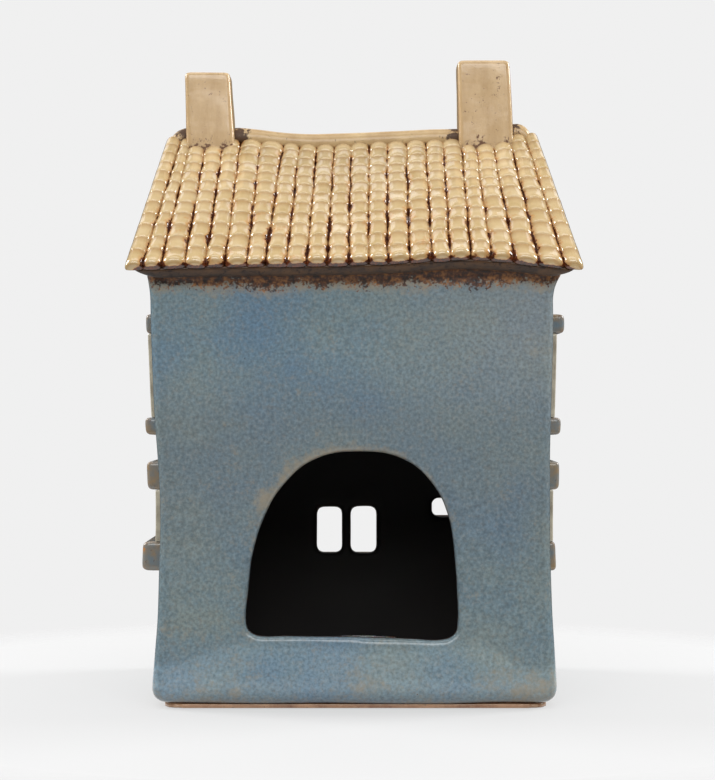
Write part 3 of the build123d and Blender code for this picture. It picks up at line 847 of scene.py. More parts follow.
@dataclass
class Walls:
    """The four walls, luted at the corners and glazed over as one body."""

    half_width: float = HALF_WIDTH
    half_depth: float = HALF_DEPTH
    thickness: float = 5 * MM
    foot_z: float = 1.2 * MM
    # How far below the floor the block that hollows the walls begins
    cut_below: float = 5 * MM
    wall_top: float = 128.5 * MM
    gable_lean: float = 4.5 * MM
    corner: float = 3.6 * MM
    foot_round: float = 3.4 * MM
    # How far the corners spread under the eaves, to the left and to the right
    flare: tuple[float, float] = (1.3 * MM, 3.2 * MM)
    flare_z: float = 127 * MM
    flare_height: float = 8 * MM
    flare_depth: float = 14 * MM
    # How far the foot is drawn in, and up to what height
    tuck: float = 2.2 * MM
    tuck_height: float = 7 * MM
    # The lights of a window, with a mullion between them and a rail above and below
    light_corner: float = 1.8 * MM
    light_width: float = 8.9 * MM
    mullion: float = 2.5 * MM
    rail: float = 2.2 * MM
    ridge_z: float = RIDGE_Z
    pitch: float = PITCH
    slab: float = SLAB
    way: Softening = Softening(0.95 * MM, 6, 1.1 * MM, 38 * MM, inwards=False)
    # How many faces the softened walls keep
    faces: int = 95000
    cage_height: float = 168 * MM
    cage_columns: int = 6
    # Between these heights the walls begin to follow the roof
    bend_from: float = 108 * MM
    bend_full: float = 124 * MM
    # How far the walls stand out from true in millimetres, every 21 mm from the foot up
    left_swell: tuple[float, ...] = (1.2, -0.6, -1.4, -1.6, -0.5, 0.5, 0.9, 0.5, 0.0)
    right_swell: tuple[float, ...] = (0.4, -1.0, -2.2, -2.3, -1.9, -1.3, -1.2, -1.2, -1.0)
    back_swell: tuple[float, ...] = (0.6, 0.0, -0.4, -0.2, 0.0, -0.2, 0.1, 0.0, 0.0)
    # Points round the arch, lopsided by hand, in millimetres across and up
    arch: tuple[tuple[float, float], ...] = (
        (-20.3, 21.5), (-29.1, 21.7), (-31.5, 23.0), (-32.3, 26.4), (-31.7, 34.0), (-29.9, 47.5),
        (-26.8, 56.8), (-21.4, 65.6), (-12.4, 73.1), (1.6, 75.6), (14.7, 73.1), (23.0, 65.6),
        (27.1, 56.8), (28.9, 46.0), (29.7, 34.0), (29.8, 25.2), (29.1, 22.0), (26.9, 20.7), (15.8, 20.5))

    def block(self, name: str, inset: float) -> Piece:
        """A block of the walls' outline, leaning in above the eaves and cut to the roof.

        Args:
            name: Name of the block.
            inset: How far it stays inside the outside of the walls.

        Returns:
            The block.
        """
        x, y = self.half_width - inset, self.half_depth - inset
        low = self.foot_z if not inset else -self.cut_below
        block = add_block(name, (-x, -y, low), (x, y, self.wall_top))
        with editing(block):
            if not inset:
                choose_edges(block, lambda mid, way: abs(way.z) > ALONG)
                bpy.ops.mesh.bevel(offset=self.corner, segments=6, profile=0.5, affect="EDGES")
            choose_faces(block, lambda mid, normal: normal.z > ALONG)
            rise = self.ridge_z - self.wall_top
            bpy.ops.mesh.extrude_region_move(TRANSFORM_OT_translate={"value": (0, 0, rise)})
            bpy.ops.transform.resize(value=((x - self.gable_lean) / x, (y - self.gable_lean) / y, 1))
            for side in (-1, 1):
                bpy.ops.mesh.select_all(action="SELECT")
                drop = self.slab if not inset else 0.0
                normal = (0, side * math.sin(self.pitch), math.cos(self.pitch))
                point = (0, 0, self.ridge_z - drop / math.cos(self.pitch))
                bpy.ops.mesh.bisect(plane_co=point, plane_no=normal, use_fill=True, clear_outer=True)
            if not inset:
                choose_edges(block, lambda mid, way: mid.z < low + 0.1 * MM)
                bpy.ops.mesh.bevel(offset=self.foot_round, segments=4, profile=0.5, affect="EDGES")
        return block

    def arch_cutter(self) -> Piece:
        """The arch as a bar that runs through the back wall.

        Returns:
            The cutter.
        """
        curve = bpy.data.curves.new("arch_cutter", "CURVE")
        curve.dimensions = "2D"
        curve.fill_mode = "BOTH"
        curve.extrude = self.thickness * 2
        spline = curve.splines.new("BEZIER")
        spline.bezier_points.add(len(self.arch) - 1)
        for place, (across, up) in zip(spline.bezier_points, self.arch):
            place.co = (across * MM, up * MM, 0)
            place.handle_left_type = place.handle_right_type = "AUTO"
        spline.bezier_points[0].handle_left_type = "VECTOR"
        spline.bezier_points[-1].handle_right_type = "VECTOR"
        spline.use_cyclic_u = True
        spline.resolution_u = 10
        cutter = bpy.data.objects.new("arch_cutter", curve)
        bpy.context.scene.collection.objects.link(cutter)
        cutter.rotation_euler = (math.pi / 2, 0, 0)
        cutter.location = (0, -self.half_depth + self.thickness / 2, 0)
        pick(cutter)
        bpy.ops.object.convert(target="MESH")
        cutter = bpy.context.object
        settle(cutter)
        with editing(cutter):
            bpy.ops.mesh.select_all(action="SELECT")
            bpy.ops.mesh.remove_doubles(threshold=2 * SAME_POINT)
            bpy.ops.mesh.normals_make_consistent(inside=False)
        return cutter

    def light_cutter(self, low: Vector, high: Vector, side_on: bool) -> Piece:
        """A rounded bar through one light of a window or the pane of the door.

        Args:
            low: Lowest corner of the light's bar.
            high: Highest corner of the bar.
            side_on: Whether the bar runs along X.

        Returns:
            The cutter.
        """
        bar = add_block("light_cutter", tuple(low), tuple(high))
        with editing(bar):
            choose_edges(bar, lambda mid, way: abs(way.x if side_on else way.y) > ALONG)
            bpy.ops.mesh.bevel(offset=self.light_corner, segments=4, profile=0.5, affect="EDGES")
        return bar

    def lights(self) -> Iterator[tuple[Vector, Vector, bool]]:
        """Give the box of each light, from the frames of the windows and the door.

        Yields:
            The two corners of a bar through the wall, and whether it runs along X.
        """
        deep = self.thickness * 2
        for name in sorted(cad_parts):
            if not name.endswith("window_frame"):
                continue
            low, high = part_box(name)
            side_on = not name.startswith("front")
            axis, through = (1, 0) if side_on else (0, 1)
            middle = (low + high) / 2
            for side in (-1, 1):
                centre = middle.copy()
                centre[axis] += side * (self.light_width + self.mullion) / 2
                half = Vector((0, 0, (high.z - low.z) / 2 - self.rail))
                half[axis] = self.light_width / 2
                half[through] = deep
                yield centre - half, centre + half, side_on

    def build(self, press: Piece, cage: Piece) -> None:
        """Make the walls, carve the hollow, the arch and the lights, and glaze them.

        Args:
            press: The lattice that presses the walls out of true.
            cage: The lattice that bends the roof, which the tops of the walls follow.
        """
        walls = self.block("walls", 0)
        carve(walls, self.block("hollow", self.thickness))
        carve(walls, self.arch_cutter())
        for low, high, side_on in self.lights():
            carve(walls, self.light_cutter(low, high, side_on))
        carve(walls, self.light_cutter(*Door().pane_box(), side_on=False))
        coves = [merged_copy("back_eaves_cove", Vector((0, SEAT, 0))),
                 merged_copy("front_eaves_cove", Vector((0, -SEAT, 0)))]
        pick(walls)
        for cove in coves:
            cove.select_set(True)
        bpy.ops.object.join()
        soften(walls, self.way)
        work(walls, "DECIMATE", ratio=min(1, self.faces / len(walls.data.polygons)))
        self.note_places(walls)
        work(walls, "LATTICE", object=press)
        self.tuck_and_flare(walls)
        self.follow_roof(walls, cage)
        pick(walls)
        bpy.ops.object.shade_smooth()
        dress(walls, BlueCrackleGlaze(), "back_wall", "front_wall", "left_wall", "right_wall",
              "back_eaves_cove", "front_eaves_cove")

    def press(self) -> Piece:
        """A cage that presses the walls and their trim out of true, as the hand and the kiln did.

        Returns:
            The lattice.
        """
        bpy.ops.object.select_all(action="DESELECT")
        bpy.ops.object.add(type="LATTICE", location=(0, 0, self.cage_height / 2))
        cage = bpy.context.object
        cage.scale = (2 * self.half_width, 2 * self.half_depth, self.cage_height)
        columns = self.cage_columns
        cage.data.points_u, cage.data.points_v, cage.data.points_w = columns, 2, len(self.left_swell)
        cage.data.interpolation_type_u = "KEY_LINEAR"
        cage.data.interpolation_type_w = "KEY_CARDINAL"
        for number, place in enumerate(cage.data.points):
            row, column = number // (2 * columns), number % columns
            if column in (0, columns - 1):
                swell = self.right_swell[row] if column else -self.left_swell[row]
                place.co_deform.x += swell * MM / cage.scale.x
            if number // columns % 2 == 0:
                place.co_deform.y -= self.back_swell[row] * MM / cage.scale.y
        bpy.context.view_layer.update()
        return cage

    def tuck_and_flare(self, walls: Piece) -> None:
        """Draw the foot of the walls in, and spread their corners under the eaves.

        Args:
            walls: The walls.
        """
        for vertex in walls.data.vertices:
            foot = max(0.0, 1 - vertex.co.z / self.tuck_height) ** 2
            up = max(0.0, 1 - abs(vertex.co.z - self.flare_z) / self.flare_height) ** 2
            out = max(0.0, min(1.0, (abs(vertex.co.y) - self.half_depth) / self.flare_depth + 1))
            flare = self.flare[0 if vertex.co.x < 0 else 1]
            vertex.co.x *= 1 + (flare * up * out - self.tuck * foot) / self.half_width
            vertex.co.y *= 1 - self.tuck * foot / self.half_width

    def note_places(self, walls: Piece) -> None:
        """Note how high each point is under its roof line, and how deep it lies in the wall.

        Args:
            walls: The walls, before they are pressed out of true.
        """
        heights, depths = [], []
        for place in (vertex.co for vertex in walls.data.vertices):
            from_eaves = self.half_depth - min(self.half_depth, abs(place.y))
            heights.append(place.z - from_eaves * math.tan(self.pitch))
            up = max(0.0, place.z - self.wall_top) / (self.ridge_z - self.wall_top)
            outside = max(abs(place.x) - self.half_width, abs(place.y) - self.half_depth)
            depths.append(outside + self.gable_lean * up)
        for name, values in (("height", heights), ("depth", depths)):
            walls.data.attributes.new(name, "FLOAT", "POINT").data.foreach_set("value", values)

    def follow_roof(self, walls: Piece, cage: Piece) -> None:
        """Bend the tops of the walls with the roof.

        Args:
            walls: The walls.
            cage: The lattice that bends the roof.
        """
        group = walls.vertex_groups.new(name="under_roof")
        for vertex in walls.data.vertices:
            share = (vertex.co.z - self.bend_from) / (self.bend_full - self.bend_from)
            if share > 0:
                group.add([vertex.index], min(1.0, share), "REPLACE")
        work(walls, "LATTICE", object=cage, vertex_group=group.name)
        walls.vertex_groups.clear()


@dataclass
class Roof:
    """Two clay slopes with their tiles, rolls and slabs, sagging as they did in the kiln."""

    pitch: float = PITCH
    reach: float = 54 * MM
    ridge_z: float = RIDGE_Z
    # Where the verges end to the left and to the right, at the eaves and at the ridge
    eaves_ends: tuple[float, float] = (-67.1 * MM, 66.4 * MM)
    ridge_ends: tuple[float, float] = (-59.7 * MM, 57.5 * MM)
    # How far the right end of a piece is drawn in, at the ridge and at the eaves
    drawn_in: tuple[float, float] = (3.0 * MM, 1.0 * MM)
    drawn_from: float = 45 * MM
    slab: float = SLAB
    # How far the underside of a slab stands back at its ends, and over what length it gets there
    under_cut: float = 7.0 * MM
    cut_length: float = 20 * MM
    overhang: float = 0.8 * MM
    under_ridge: float = 1.2 * MM
    courses: int = 12
    # Length of the course at the ridge, as a share of the one at the eaves
    shrink: float = 0.72
    # Width of a column, as a share of the space between its grooves
    overlap: float = 1.15
    facets: int = 20
    # How far a bar goes down into the slab, as a share of its radius
    bar_sunk: float = 0.16
    tile_heights: tuple[float, float] = (3.2 * MM, 2.4 * MM)
    verge_heights: tuple[float, float] = (3.1 * MM, 2.8 * MM)
    lip_length: float = 0.9 * MM
    # Where the bullnose of a lip gets a ring of points, as shares of its length
    lip_rings: tuple[float, ...] = (0.0, 0.25, 0.55, 1.0)
    lip_step: float = 0.12
    verge_step: float = 0.05
    end_length: float = 2.0 * MM
    # The lowest lip is round from its foot up: shares of its length and of the bar's radius
    lowest_lip: tuple[tuple[float, float], ...] = (
        (0.0, 0.42), (0.08, 0.66), (0.3, 0.86), (0.6, 0.96), (1.0, 1.0))
    # How unevenly the tiles are laid: along the slope, turned, raised and across the slope
    seed: int = 17
    slip: float = 0.35 * MM
    skew: float = 0.3 * MM
    lift: tuple[float, float] = (0.94, 1.05)
    wander: float = 0.3 * MM
    # How far the ridge roll goes into a chimney, and which of its points do
    chimney_sink: float = 1.6 * MM
    face_reach: float = 0.3 * MM
    # How far from a chimney iron pools on the ridge roll
    pool_reach: float = 6.5 * MM
    # How far the ends of the ridge roll are pressed down, and over what length
    roll_drop: float = 2.4 * MM
    roll_end: float = 6 * MM
    slab_growth: float = 0.9 * MM
    slab_way: Softening = Softening(0.7 * MM, 30, 0.4 * MM)
    roll_way: Softening = Softening(0.6 * MM, 45, 0.5 * MM)
    chimney_way: Softening = Softening(0.5 * MM, 16, 0.35 * MM)
    # Grooves between the tile columns in millimetres from the middle, at the eaves and the ridge
    eaves_grooves: tuple[float, ...] = (
        -61.6, -56.2, -49.4, -43.4, -37.8, -31.4, -26.1, -19.9, -13.9, -8.1, -2.0,
        3.8, 9.4, 15.7, 22.2, 27.5, 33.5, 39.4, 46.1, 53.1, 60.6)
    ridge_grooves: tuple[float, ...] = (
        -55.0, -51.9, -46.9, -41.5, -36.1, -29.7, -22.7, -17.6, -12.2, -6.8, -1.4,
        4.3, 10.0, 16.0, 21.9, 27.5, 33.2, 37.6, 43.0, 48.4, 53.4)
    # How the roof line moved in the kiln, in millimetres, from left to right
    back_sag: tuple[float, ...] = (0.1, 0.5, 0.9, 1.2, 1.5, 2.2, 3.0, 1.6, -0.2)
    ridge_sag: tuple[float, ...] = (0.0, 0.1, -0.2, -1.8, -1.5, -0.7, -0.1, 1.3, 0.9)
    front_sag: tuple[float, ...] = (0.2, 0.6, 0.1, -0.5, 0.3, 0.9, 0.5, 0.2, 0.0)
    cage_middle: float = 150 * MM
    cage_height: float = 80 * MM
    cage_margin: float = 3 * MM
    chimney_lean: float = 1.1 * MM

    def lattice(self) -> Piece:
        """A cage over the roof that bends every piece of it alike.

        Returns:
            The lattice.
        """
        bpy.ops.object.select_all(action="DESELECT")
        bpy.ops.object.add(type="LATTICE", location=(0, 0, self.cage_middle))
        cage = bpy.context.object
        width = self.eaves_ends[1] - self.eaves_ends[0]
        cage.scale = (width, 2 * (self.reach + self.cage_margin), self.cage_height)
        cage.data.points_u, cage.data.points_v, cage.data.points_w = len(self.back_sag), 3, 2
        cage.data.interpolation_type_u = "KEY_CARDINAL"
        cage.data.interpolation_type_v = cage.data.interpolation_type_w = "KEY_LINEAR"
        rows = (self.back_sag, self.ridge_sag, self.front_sag)
        for number, place in enumerate(cage.data.points):
            across = number % len(self.back_sag)
            row = number // len(self.back_sag) % 3
            place.co_deform.z += rows[row][across] * MM / cage.scale.z
        bpy.context.view_layer.update()
        return cage

    def run(self) -> float:
        """The length of a column of tiles, from its lip to its end under the ridge roll."""
        return self.reach / math.cos(self.pitch) - self.under_ridge + self.overhang

    def course_shares(self) -> list[float]:
        """Where each course starts, as a share of the column, shorter to the ridge."""
        weights = [1 - (1 - self.shrink) * n / (self.courses - 1) for n in range(self.courses)]
        return [sum(weights[:n]) / sum(weights) for n in range(self.courses + 1)]

    def bar(self, name: str, step: float) -> Piece:
        """Model one column: a half-round bar one unit long that steps at each course.

        Args:
            name: Name of the bar.
            step: How far a tile's upper end is below its lip, as a share of the radius.

        Returns:
            The bar, along Y from 0 to 1, with its flat side down and a radius of 1.
        """
        bpy.ops.object.select_all(action="DESELECT")
        bpy.ops.mesh.primitive_cylinder_add(vertices=self.facets, radius=1, depth=1,
                                            location=(0, 0.5, 0), rotation=(math.pi / 2, 0, 0))
        bar = bpy.context.object
        bar.name = name
        settle(bar)
        shares = self.course_shares()
        nose = self.lip_length / self.run()
        radii = {}
        for low, high in zip(shares, shares[1:]):
            # The lip is a bullnose, steep at its foot and level after the length of the nose
            for part in self.lip_rings:
                radii[low + part * nose] = 1 - step * (1 - part) ** 2
            radii[(low + high) / 2] = 1 - 0.5 * step
            radii[high - 0.08 * nose] = 1 - step
        radii[1.0] = 1 - step
        # The lowest lip hangs over the slab
        end = self.end_length / self.run()
        radii = {place: radius for place, radius in radii.items() if not 0 < place < end}
        radii |= {part * end: radius for part, radius in self.lowest_lip}
        with editing(bar):
            bpy.ops.mesh.select_all(action="SELECT")
            bpy.ops.mesh.bisect(plane_co=(0, 0, -self.bar_sunk), plane_no=(0, 0, 1), use_fill=True,
                                clear_inner=True)
            for share in sorted(radii)[1:-1]:
                bpy.ops.mesh.select_all(action="SELECT")
                bpy.ops.mesh.bisect(plane_co=(0, share, 0), plane_no=(0, 1, 0))
        places = sorted(radii)
        crown = bar.data.attributes.new("crown", "FLOAT", "POINT")
        # The lip attribute marks the foot of each lip, where the glaze paints a thin shade line
        lip = bar.data.attributes.new("lip", "FLOAT", "POINT")
        for vertex in bar.data.vertices:
            nearest = min(places, key=lambda place: abs(place - vertex.co.y))
            crown.data[vertex.index].value = max(0.0, vertex.co.z)
            starts = min(abs(nearest - share) for share in shares)
            lip.data[vertex.index].value = 1.0 if starts < 0.2 * nose and nearest > 0 else 0.0
            # A bar narrows less than it sinks, except at its lowest lip
            narrowing = 0.3 if nearest >= end else 0.75
            vertex.co.x *= 1 - narrowing * (1 - radii[nearest])
            vertex.co.z *= radii[nearest]
        return bar

    def lay(self, bar: Piece, facing: int, grooves: tuple[tuple[float, float], tuple[float, float]],
            heights: tuple[float, float], chance: random.Random, outer: int = 0) -> Piece:
        """Copy the bar and bend the copy onto a slope between two grooves.

        Args:
            bar: The bar to copy.
            facing: -1 for the back slope, 1 for the front one.
            grooves: Left and right groove at the eaves, and the same at the ridge.
            heights: Height of the crown at the eaves and at the ridge.
            chance: Source of the small differences between tiles.
            outer: Side on which the bar has no groove, for a roll along a verge.

        Returns:
            The copy.
        """
        copy = bpy.data.objects.new(bar.name + "_laid", bar.data.copy())
        bpy.context.scene.collection.objects.link(copy)
        shares = self.course_shares()
        slips = [chance.uniform(-self.slip, self.slip) for _ in shares]
        skews = [chance.uniform(-self.skew, self.skew) for _ in shares]
        lifts = [chance.uniform(*self.lift) for _ in shares]
        wander = [chance.uniform(-self.wander, self.wander) for _ in shares]
        slips[-1] = 0.0
        sine, cosine = math.sin(self.pitch), math.cos(self.pitch)
        eaves_z = self.ridge_z - self.reach * math.tan(self.pitch)
        crown = copy.data.attributes["crown"]
        for vertex in copy.data.vertices:
            share = min(1.0, max(0.0, vertex.co.y))
            course = min(range(len(shares)), key=lambda n: abs(shares[n] - share))
            next_up = next((n for n, s in enumerate(shares) if s >= share), len(shares) - 1)
            before = max(0, next_up - 1)
            span = max(1e-6, shares[next_up] - shares[before])
            part = (share - shares[before]) / span if next_up else 0.0
            drift = 0.0 if outer else wander[before] + (wander[next_up] - wander[before]) * part
            left = grooves[0][0] + (grooves[1][0] - grooves[0][0]) * share
            right = grooves[0][1] + (grooves[1][1] - grooves[0][1]) * share
            overlap = 1.0 if outer and vertex.co.x * outer > 0 else self.overlap
            across = (left + right) / 2 + drift + vertex.co.x * (right - left) / 2 * overlap
            height = (heights[0] + (heights[1] - heights[0]) * share) * vertex.co.z * lifts[course]
            up = share * self.run() - self.overhang + slips[course] * (share > 0)
            up += skews[course] * vertex.co.x
            if vertex.co.x * outer > 0:
                crown.data[vertex.index].value = 1.0
            vertex.co = Vector((
                -facing * across,
                facing * (self.reach - up * cosine + height * sine),
                eaves_z + up * sine + height * cosine,
            ))
        return copy

    def join(self, copies: list[Piece], name: str, cage: Piece) -> Piece:
        """Join copies into one piece, turn its faces out, round its rows and bend it.

        Args:
            copies: The copies.
            name: Name of the piece.
            cage: The lattice that bends the roof.

        Returns:
            The piece.
        """
        pick(copies[0])
        for copy in copies:
            copy.select_set(True)
        bpy.ops.object.join()
        piece = bpy.context.object
        piece.name = name
        with editing(piece):
            bpy.ops.mesh.select_all(action="SELECT")
            bpy.ops.mesh.normals_make_consistent(inside=False)
        work(piece, "SUBSURF", levels=1, render_levels=1)
        work(piece, "LATTICE", object=cage)
        pick(piece)
        bpy.ops.object.shade_smooth()
        return piece

    def slope(self, side: str, facing: int, cage: Piece) -> None:
        """Lay the tiles and verge rolls of one slope.

        Args:
            side: Name of the slope.
            facing: -1 for the back slope, 1 for the front one.
            cage: The lattice that bends the roof.
        """
        chance = random.Random(self.seed + facing)
        bar = self.bar("tile_column", self.lip_step)
        low_line = [groove * MM for groove in self.eaves_grooves]
        high_line = [groove * MM for groove in self.ridge_grooves]
        copies = []
        for n in range(len(low_line) - 1):
            pair = (tuple(low_line[n:n + 2]), tuple(high_line[n:n + 2]))
            copies.append(self.lay(bar, facing, pair, self.tile_heights, chance))
        bpy.data.objects.remove(bar)
        dress(self.join(copies, side + "_tiles", cage), TileGlaze(), side + "_roof_tiles")
        bar = self.bar("verge_bar", self.verge_step)
        # The bars run the other way across the front slope, so its ends change places
        low_ends = sorted(-facing * end for end in self.eaves_ends)
        high_ends = sorted(-facing * end for end in self.ridge_ends)
        left = ((low_ends[0], low_line[0]), (high_ends[0], high_line[0]))
        right = ((low_line[-1], low_ends[1]), (high_line[-1], high_ends[1]))
        copies = [self.lay(bar, facing, left, self.verge_heights, chance, -1),
                  self.lay(bar, facing, right, self.verge_heights, chance, 1)]
        bpy.data.objects.remove(bar)
        dress(self.join(copies, side + "_verges", cage), TileGlaze(), side + "_verge_rolls")

    def draw_in(self, piece: Piece) -> None:
        """Draw the right end of a piece in, where the verge stands in on that side.

        Args:
            piece: The piece.
        """
        end = max(v.co.x for v in piece.data.vertices)
        for vertex in piece.data.vertices:
            share = max(0.0, vertex.co.x - self.drawn_from) / (end - self.drawn_from)
            down = min(1.0, abs(vertex.co.y) / self.reach)
            vertex.co.x -= share * (self.drawn_in[0] + (self.drawn_in[1] - self.drawn_in[0]) * down)

    def ridge(self, cage: Piece) -> None:
        """Make the ridge roll, pressed down at its ends into the verges.

        Args:
            cage: The lattice that bends the roof.
        """
        roll = merged_copy("ridge_roll")
        faces = [(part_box(name)[side].x, way) for name in ("left_chimney", "right_chimney")
                 for side, way in ((0, 1), (1, -1))]
        for vertex in roll.data.vertices:
            for face, way in faces:
                if abs(vertex.co.x - face) < self.face_reach:
                    vertex.co.x += way * self.chimney_sink
        soften(roll, self.roll_way)
        pools = [max(0.0, 1 - min(abs(v.co.x - face) for face, way in faces) / self.pool_reach)
                 for v in roll.data.vertices]
        roll.data.attributes.new("pool", "FLOAT", "POINT").data.foreach_set("value", pools)
        end = max(abs(v.co.x) for v in roll.data.vertices)
        for vertex in roll.data.vertices:
            near = max(0.0, abs(vertex.co.x) - end + self.roll_end) / self.roll_end
            vertex.co.z -= self.roll_drop * near ** 2
        self.draw_in(roll)
        work(roll, "LATTICE", object=cage)
        dress(roll, CREAM_RIDGE, "ridge_roll")

    def chimneys(self) -> None:
        """Make the chimneys, which lean a little to the left."""
        for node in ("left_chimney", "right_chimney"):
            chimney = clay_copy(node, self.chimney_way)
            low = min(v.co.z for v in chimney.data.vertices)
            high = max(v.co.z for v in chimney.data.vertices)
            for vertex in chimney.data.vertices:
                vertex.co.x -= self.chimney_lean * (vertex.co.z - low) / (high - low)
            dress(chimney, CREAM_CHIMNEY, node)

    def build(self, cage: Piece) -> None:
        """Make both slopes, their slabs, the ridge roll and the chimneys.

        Args:
            cage: The lattice that bends the roof.
        """
        for side, facing in (("back", -1), ("front", 1)):
            self.slope(side, facing, cage)
            slab = clay_copy(side + "_roof_slab", self.slab_way)
            for vertex in slab.data.vertices:
                down = self.slab_growth * abs(vertex.co.y) / self.reach
                way = Vector((0, facing * math.cos(self.pitch), -math.sin(self.pitch)))
                vertex.co += down * way
                plane_z = self.ridge_z - abs(vertex.co.y) * math.tan(self.pitch)
                deep = min(1.0, max(0.0, (plane_z - vertex.co.z) * math.cos(self.pitch) / self.slab))
                near = min(1.0, max(0.0, abs(vertex.co.x) - self.drawn_from) / self.cut_length)
                vertex.co.x -= math.copysign(self.under_cut * deep ** 2 * near, vertex.co.x)
            self.draw_in(slab)
            work(slab, "LATTICE", object=cage)
            dress(slab, DARK_EDGE, side + "_roof_slab")
        self.ridge(cage)
        self.chimneys()


@dataclass
class Trim:
    """Clay strips on the walls: frames, lintels, sills, shutters and the foot."""

    # How each kind of strip is worked over, and its finish
    ways: dict[str, tuple[Softening, SlipGlaze]] = field(default_factory=lambda: {
        "frame": (Softening(0.42 * MM, 3), CREAM_TRIM), "lintel": (Softening(0.4 * MM, 38), GREY_TRIM),
        "sill": (Softening(0.4 * MM, 38), GREY_TRIM), "shutters": (Softening(0.3 * MM, 4), SHUTTER)})
    foot_way: Softening = Softening(0.6 * MM, 2)
    wall_x: float = HALF_WIDTH
    # How far the lintel and the sill of each side window stand out, as a share of their softened clay
    proud: dict[str, tuple[float, float]] = field(default_factory=lambda: {
        "left_upper": (0.75, 1.1), "left_lower": (1.12, 1.45),
        "right_upper": (1.1, 1.07), "right_lower": (1.0, 0.82)})
    # Width of the upright at each outer end of a pair of shutters
    stile: float = 1.5 * MM

    def seat(self, node: str) -> Vector:
        """The way into the wall from a piece of trim.

        Args:
            node: Name of the piece's CAD node, which starts with its side of the house.

        Returns:
            How far the piece goes into the wall.
        """
        if node.startswith("left"):
            return Vector((SEAT, 0, 0))
        if node.startswith("right"):
            return Vector((-SEAT, 0, 0))
        return Vector((0, -SEAT, 0))

    def add_stiles(self, piece: Piece, node: str) -> None:
        """Join an upright to each outer end of a pair of shutters, over the ends of the slats.

        Args:
            piece: The pair of shutters.
            node: The pair's CAD node.
        """
        low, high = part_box(node)
        uprights = [
            add_block("stile", tuple(low), (high.x, low.y + self.stile, high.z)),
            add_block("stile", (low.x, high.y - self.stile, low.z), tuple(high))]
        pick(piece)
        for upright in uprights:
            upright.select_set(True)
        bpy.ops.object.join()

    def stand_out(self, piece: Piece, node: str) -> None:
        """Set how far a lintel or a sill of a side window stands out from the wall.

        Args:
            piece: The lintel or sill.
            node: Its CAD node, named by side, storey and kind.
        """
        window, kind = node.rsplit("_window_", 1)
        share = self.proud.get(window, (1.0, 1.0))[kind == "sill"]
        for vertex in piece.data.vertices:
            beyond = abs(vertex.co.x) - self.wall_x
            if beyond > 0:
                vertex.co.x = math.copysign(self.wall_x + beyond * share, vertex.co.x)

    def build(self, press: Piece) -> None:
        """Make every piece of trim from its node.

        Args:
            press: The lattice that presses the walls out of true.
        """
        for node in sorted(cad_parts):
            if "window" in node:
                kind = node.rsplit("_", 1)[1]
                way, finish = self.ways[kind]
                piece = merged_copy(node, self.seat(node))
                if kind == "shutters":
                    self.add_stiles(piece, node)
                soften(piece, way)
                if kind in ("lintel", "sill"):
                    self.stand_out(piece, node)
                work(piece, "LATTICE", object=press)
                dress(piece, finish, node)
        dress(clay_copy("base_slab", self.foot_way), RUST_FOOT, "base_slab")


@dataclass
class Door:
    """The front door with its surround, canopy, step and knob."""

    pane_half: float = 4.35 * MM
    pane_height: float = 5.8 * MM
    pane_below_top: float = 4 * MM
    # How far the bar of the pane's opening reaches beyond the leaf, into the house and outwards
    pane_inwards: float = 10 * MM
    pane_outwards: float = 5 * MM
    way: Softening = Softening(0.4 * MM, 3)
    knob_way: Softening = Softening(0.2 * MM, 3)

    def pane_box(self) -> tuple[Vector, Vector]:
        """Give the box of a bar through the wall behind the door's pane.

        Returns:
            The lowest and the highest corner.
        """
        low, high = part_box("door_leaf")
        middle = (low.x + high.x) / 2
        top = high.z - self.pane_below_top
        return (Vector((middle - self.pane_half, low.y - self.pane_inwards, top - self.pane_height)),
                Vector((middle + self.pane_half, high.y + self.pane_outwards, top)))

    def build(self, press: Piece) -> None:
        """Make the pieces of the door from their nodes.

        Args:
            press: The lattice that presses the walls out of true.
        """
        finishes = {"door_leaf": DOOR, "door_knob": RUST_FOOT, "door_step": CREAM_TRIM,
                    "door_canopy": CREAM_TRIM, "door_surround": CREAM_TRIM}
        for node, finish in finishes.items():
            if node == "door_knob":
                piece = clay_copy(node, self.knob_way)
            else:
                piece = clay_copy(node, self.way, Vector((0, -SEAT, 0)))
            work(piece, "LATTICE", object=press)
            dress(piece, finish, node)


@dataclass
class Tealight:
    """The loose tealight on the floor of the house."""

    def build(self) -> None:
        """Give the cup, the wax and the wick their finishes."""
        low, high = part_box("tealight_cup")
        redress("tealight_cup", PressedAluminium(middle=tuple((low + high).xy / 2)))
        redress("tealight_wax", WAX)
        redress("wick_sustainer", TIN)
        redress("wick", COTTON)


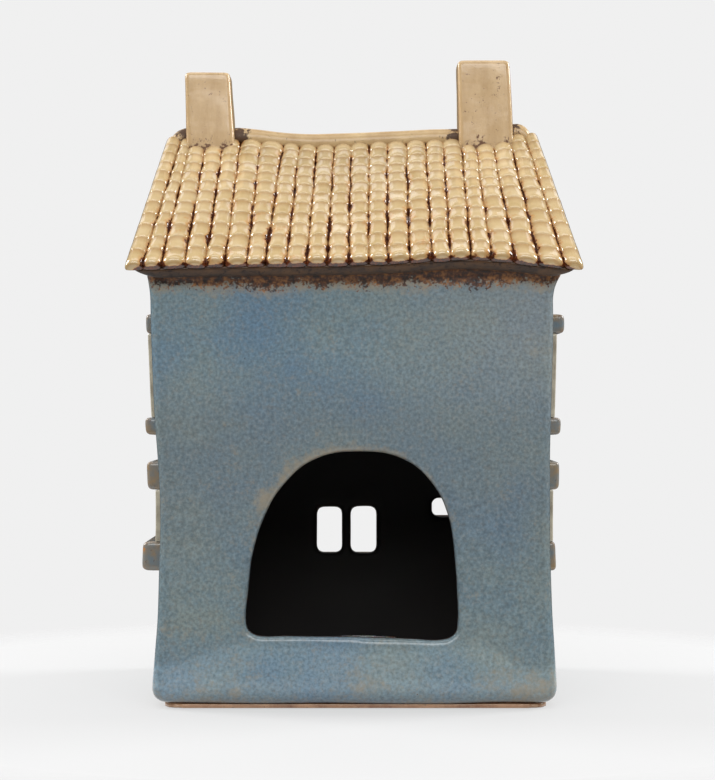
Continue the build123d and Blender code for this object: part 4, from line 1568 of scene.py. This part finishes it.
@dataclass
class Studio:
    """A pale lit floor, soft lights and the camera."""

    floor_size: float = 0.6
    # The middle of the house, which every light faces
    aim: Point = (0, 0, 0.1)
    # Name, place, width and height, and power in watts of each soft light
    softboxes: tuple[tuple[str, Point, tuple[float, float], float], ...] = (
        ("left_softbox", (-1.0, 0.3, 0.68), (0.45, 0.6), 12),
        ("right_softbox", (1.0, 0.3, 0.68), (0.45, 0.6), 12),
        ("top_softbox", (0, -0.3, 1.5), (1.4, 0.8), 6),
        ("front_softbox", (0, -1.5, 0.85), (1.8, 0.7), 15),
        ("rear_softbox", (0, 1.7, 1.5), (2.4, 1.4), 10))
    # Strength of the studio's walls to the camera, as light and in reflections
    seen_light: float = 0.871
    fill_light: float = 0.5
    mirrored_light: float = 0.05
    camera_y: float = -0.648
    camera_z: float = 0.0903
    focal_px: float = 2050
    frame_px: float = 780
    right_px: float = 2
    down_px: float = 11.2
    sensor: float = 36

    def floor(self) -> None:
        """Lay the lit sheet that the house stands on."""
        bpy.ops.object.select_all(action="DESELECT")
        bpy.ops.mesh.primitive_plane_add(size=self.floor_size, location=(0, 0, 0))
        floor = bpy.context.object
        floor.name = "studio_floor"
        floor.data.materials.append(LitAcrylic().material())

    def softbox(self, name: str, place: Point, size: tuple[float, float], power: float) -> None:
        """Hang one soft light that faces the house.

        Args:
            name: Name of the light.
            place: Where it hangs.
            size: Its width and height.
            power: Its power in watts.
        """
        lamp = bpy.data.lights.new(name, "AREA")
        lamp.shape = "RECTANGLE"
        lamp.size, lamp.size_y = size
        lamp.energy = power
        softbox = bpy.data.objects.new(name, lamp)
        bpy.context.scene.collection.objects.link(softbox)
        softbox.location = place
        softbox.rotation_euler = (Vector(self.aim) - Vector(place)).to_track_quat("-Z", "Y").to_euler()

    def surround(self) -> None:
        """Make the studio's walls: pale to look at, dim as light and dark in reflections."""
        s = NodeSketch(bpy.data.worlds.new("studio"))
        bpy.context.scene.world = s.owner
        seen = s.add("LightPath", out="Is Camera Ray")
        lit = s.add("LightPath", out="Is Diffuse Ray")
        mirrored = s.add("LightPath", out="Is Glossy Ray")
        strength = s.add("Math", {0: seen, 1: self.seen_light}, operation="MULTIPLY")
        strength = s.add("Math", {0: lit, 1: self.fill_light, 2: strength}, operation="MULTIPLY_ADD")
        strength = s.add("Math", {0: mirrored, 1: self.mirrored_light, 2: strength}, operation="MULTIPLY_ADD")
        s.add("OutputWorld", {"Surface": s.add("Background", {"Strength": strength, "Color": (1, 1, 1, 1)})})

    def build(self) -> None:
        """Set up the floor, the lights, the world and the camera."""
        self.floor()
        for name, place, size, power in self.softboxes:
            self.softbox(name, place, size, power)
        self.surround()
        lens = bpy.data.cameras.new("camera")
        lens.sensor_fit = "VERTICAL"
        lens.sensor_height = self.sensor
        lens.lens = self.focal_px / self.frame_px * self.sensor
        lens.shift_x = self.right_px / self.frame_px
        lens.shift_y = self.down_px / self.frame_px
        camera = bpy.data.objects.new("camera", lens)
        camera.location = (0, self.camera_y, self.camera_z)
        camera.rotation_euler = (math.pi / 2, 0, 0)
        bpy.context.scene.collection.objects.link(camera)
        bpy.context.scene.camera = camera
        bpy.context.scene.view_settings.view_transform = "Standard"


def main() -> None:
    """Build the house, the tealight and the studio, then remove the lattices."""
    logging.basicConfig(level=logging.INFO, format="%(message)s")
    walls, roof = Walls(), Roof()
    press, cage = walls.press(), roof.lattice()
    walls.build(press, cage)
    roof.build(cage)
    Trim().build(press)
    Door().build(press)
    Tealight().build()
    Studio().build()
    for lattice in (press, cage):
        bpy.data.objects.remove(lattice)


if __name__ == "__main__":
    main()
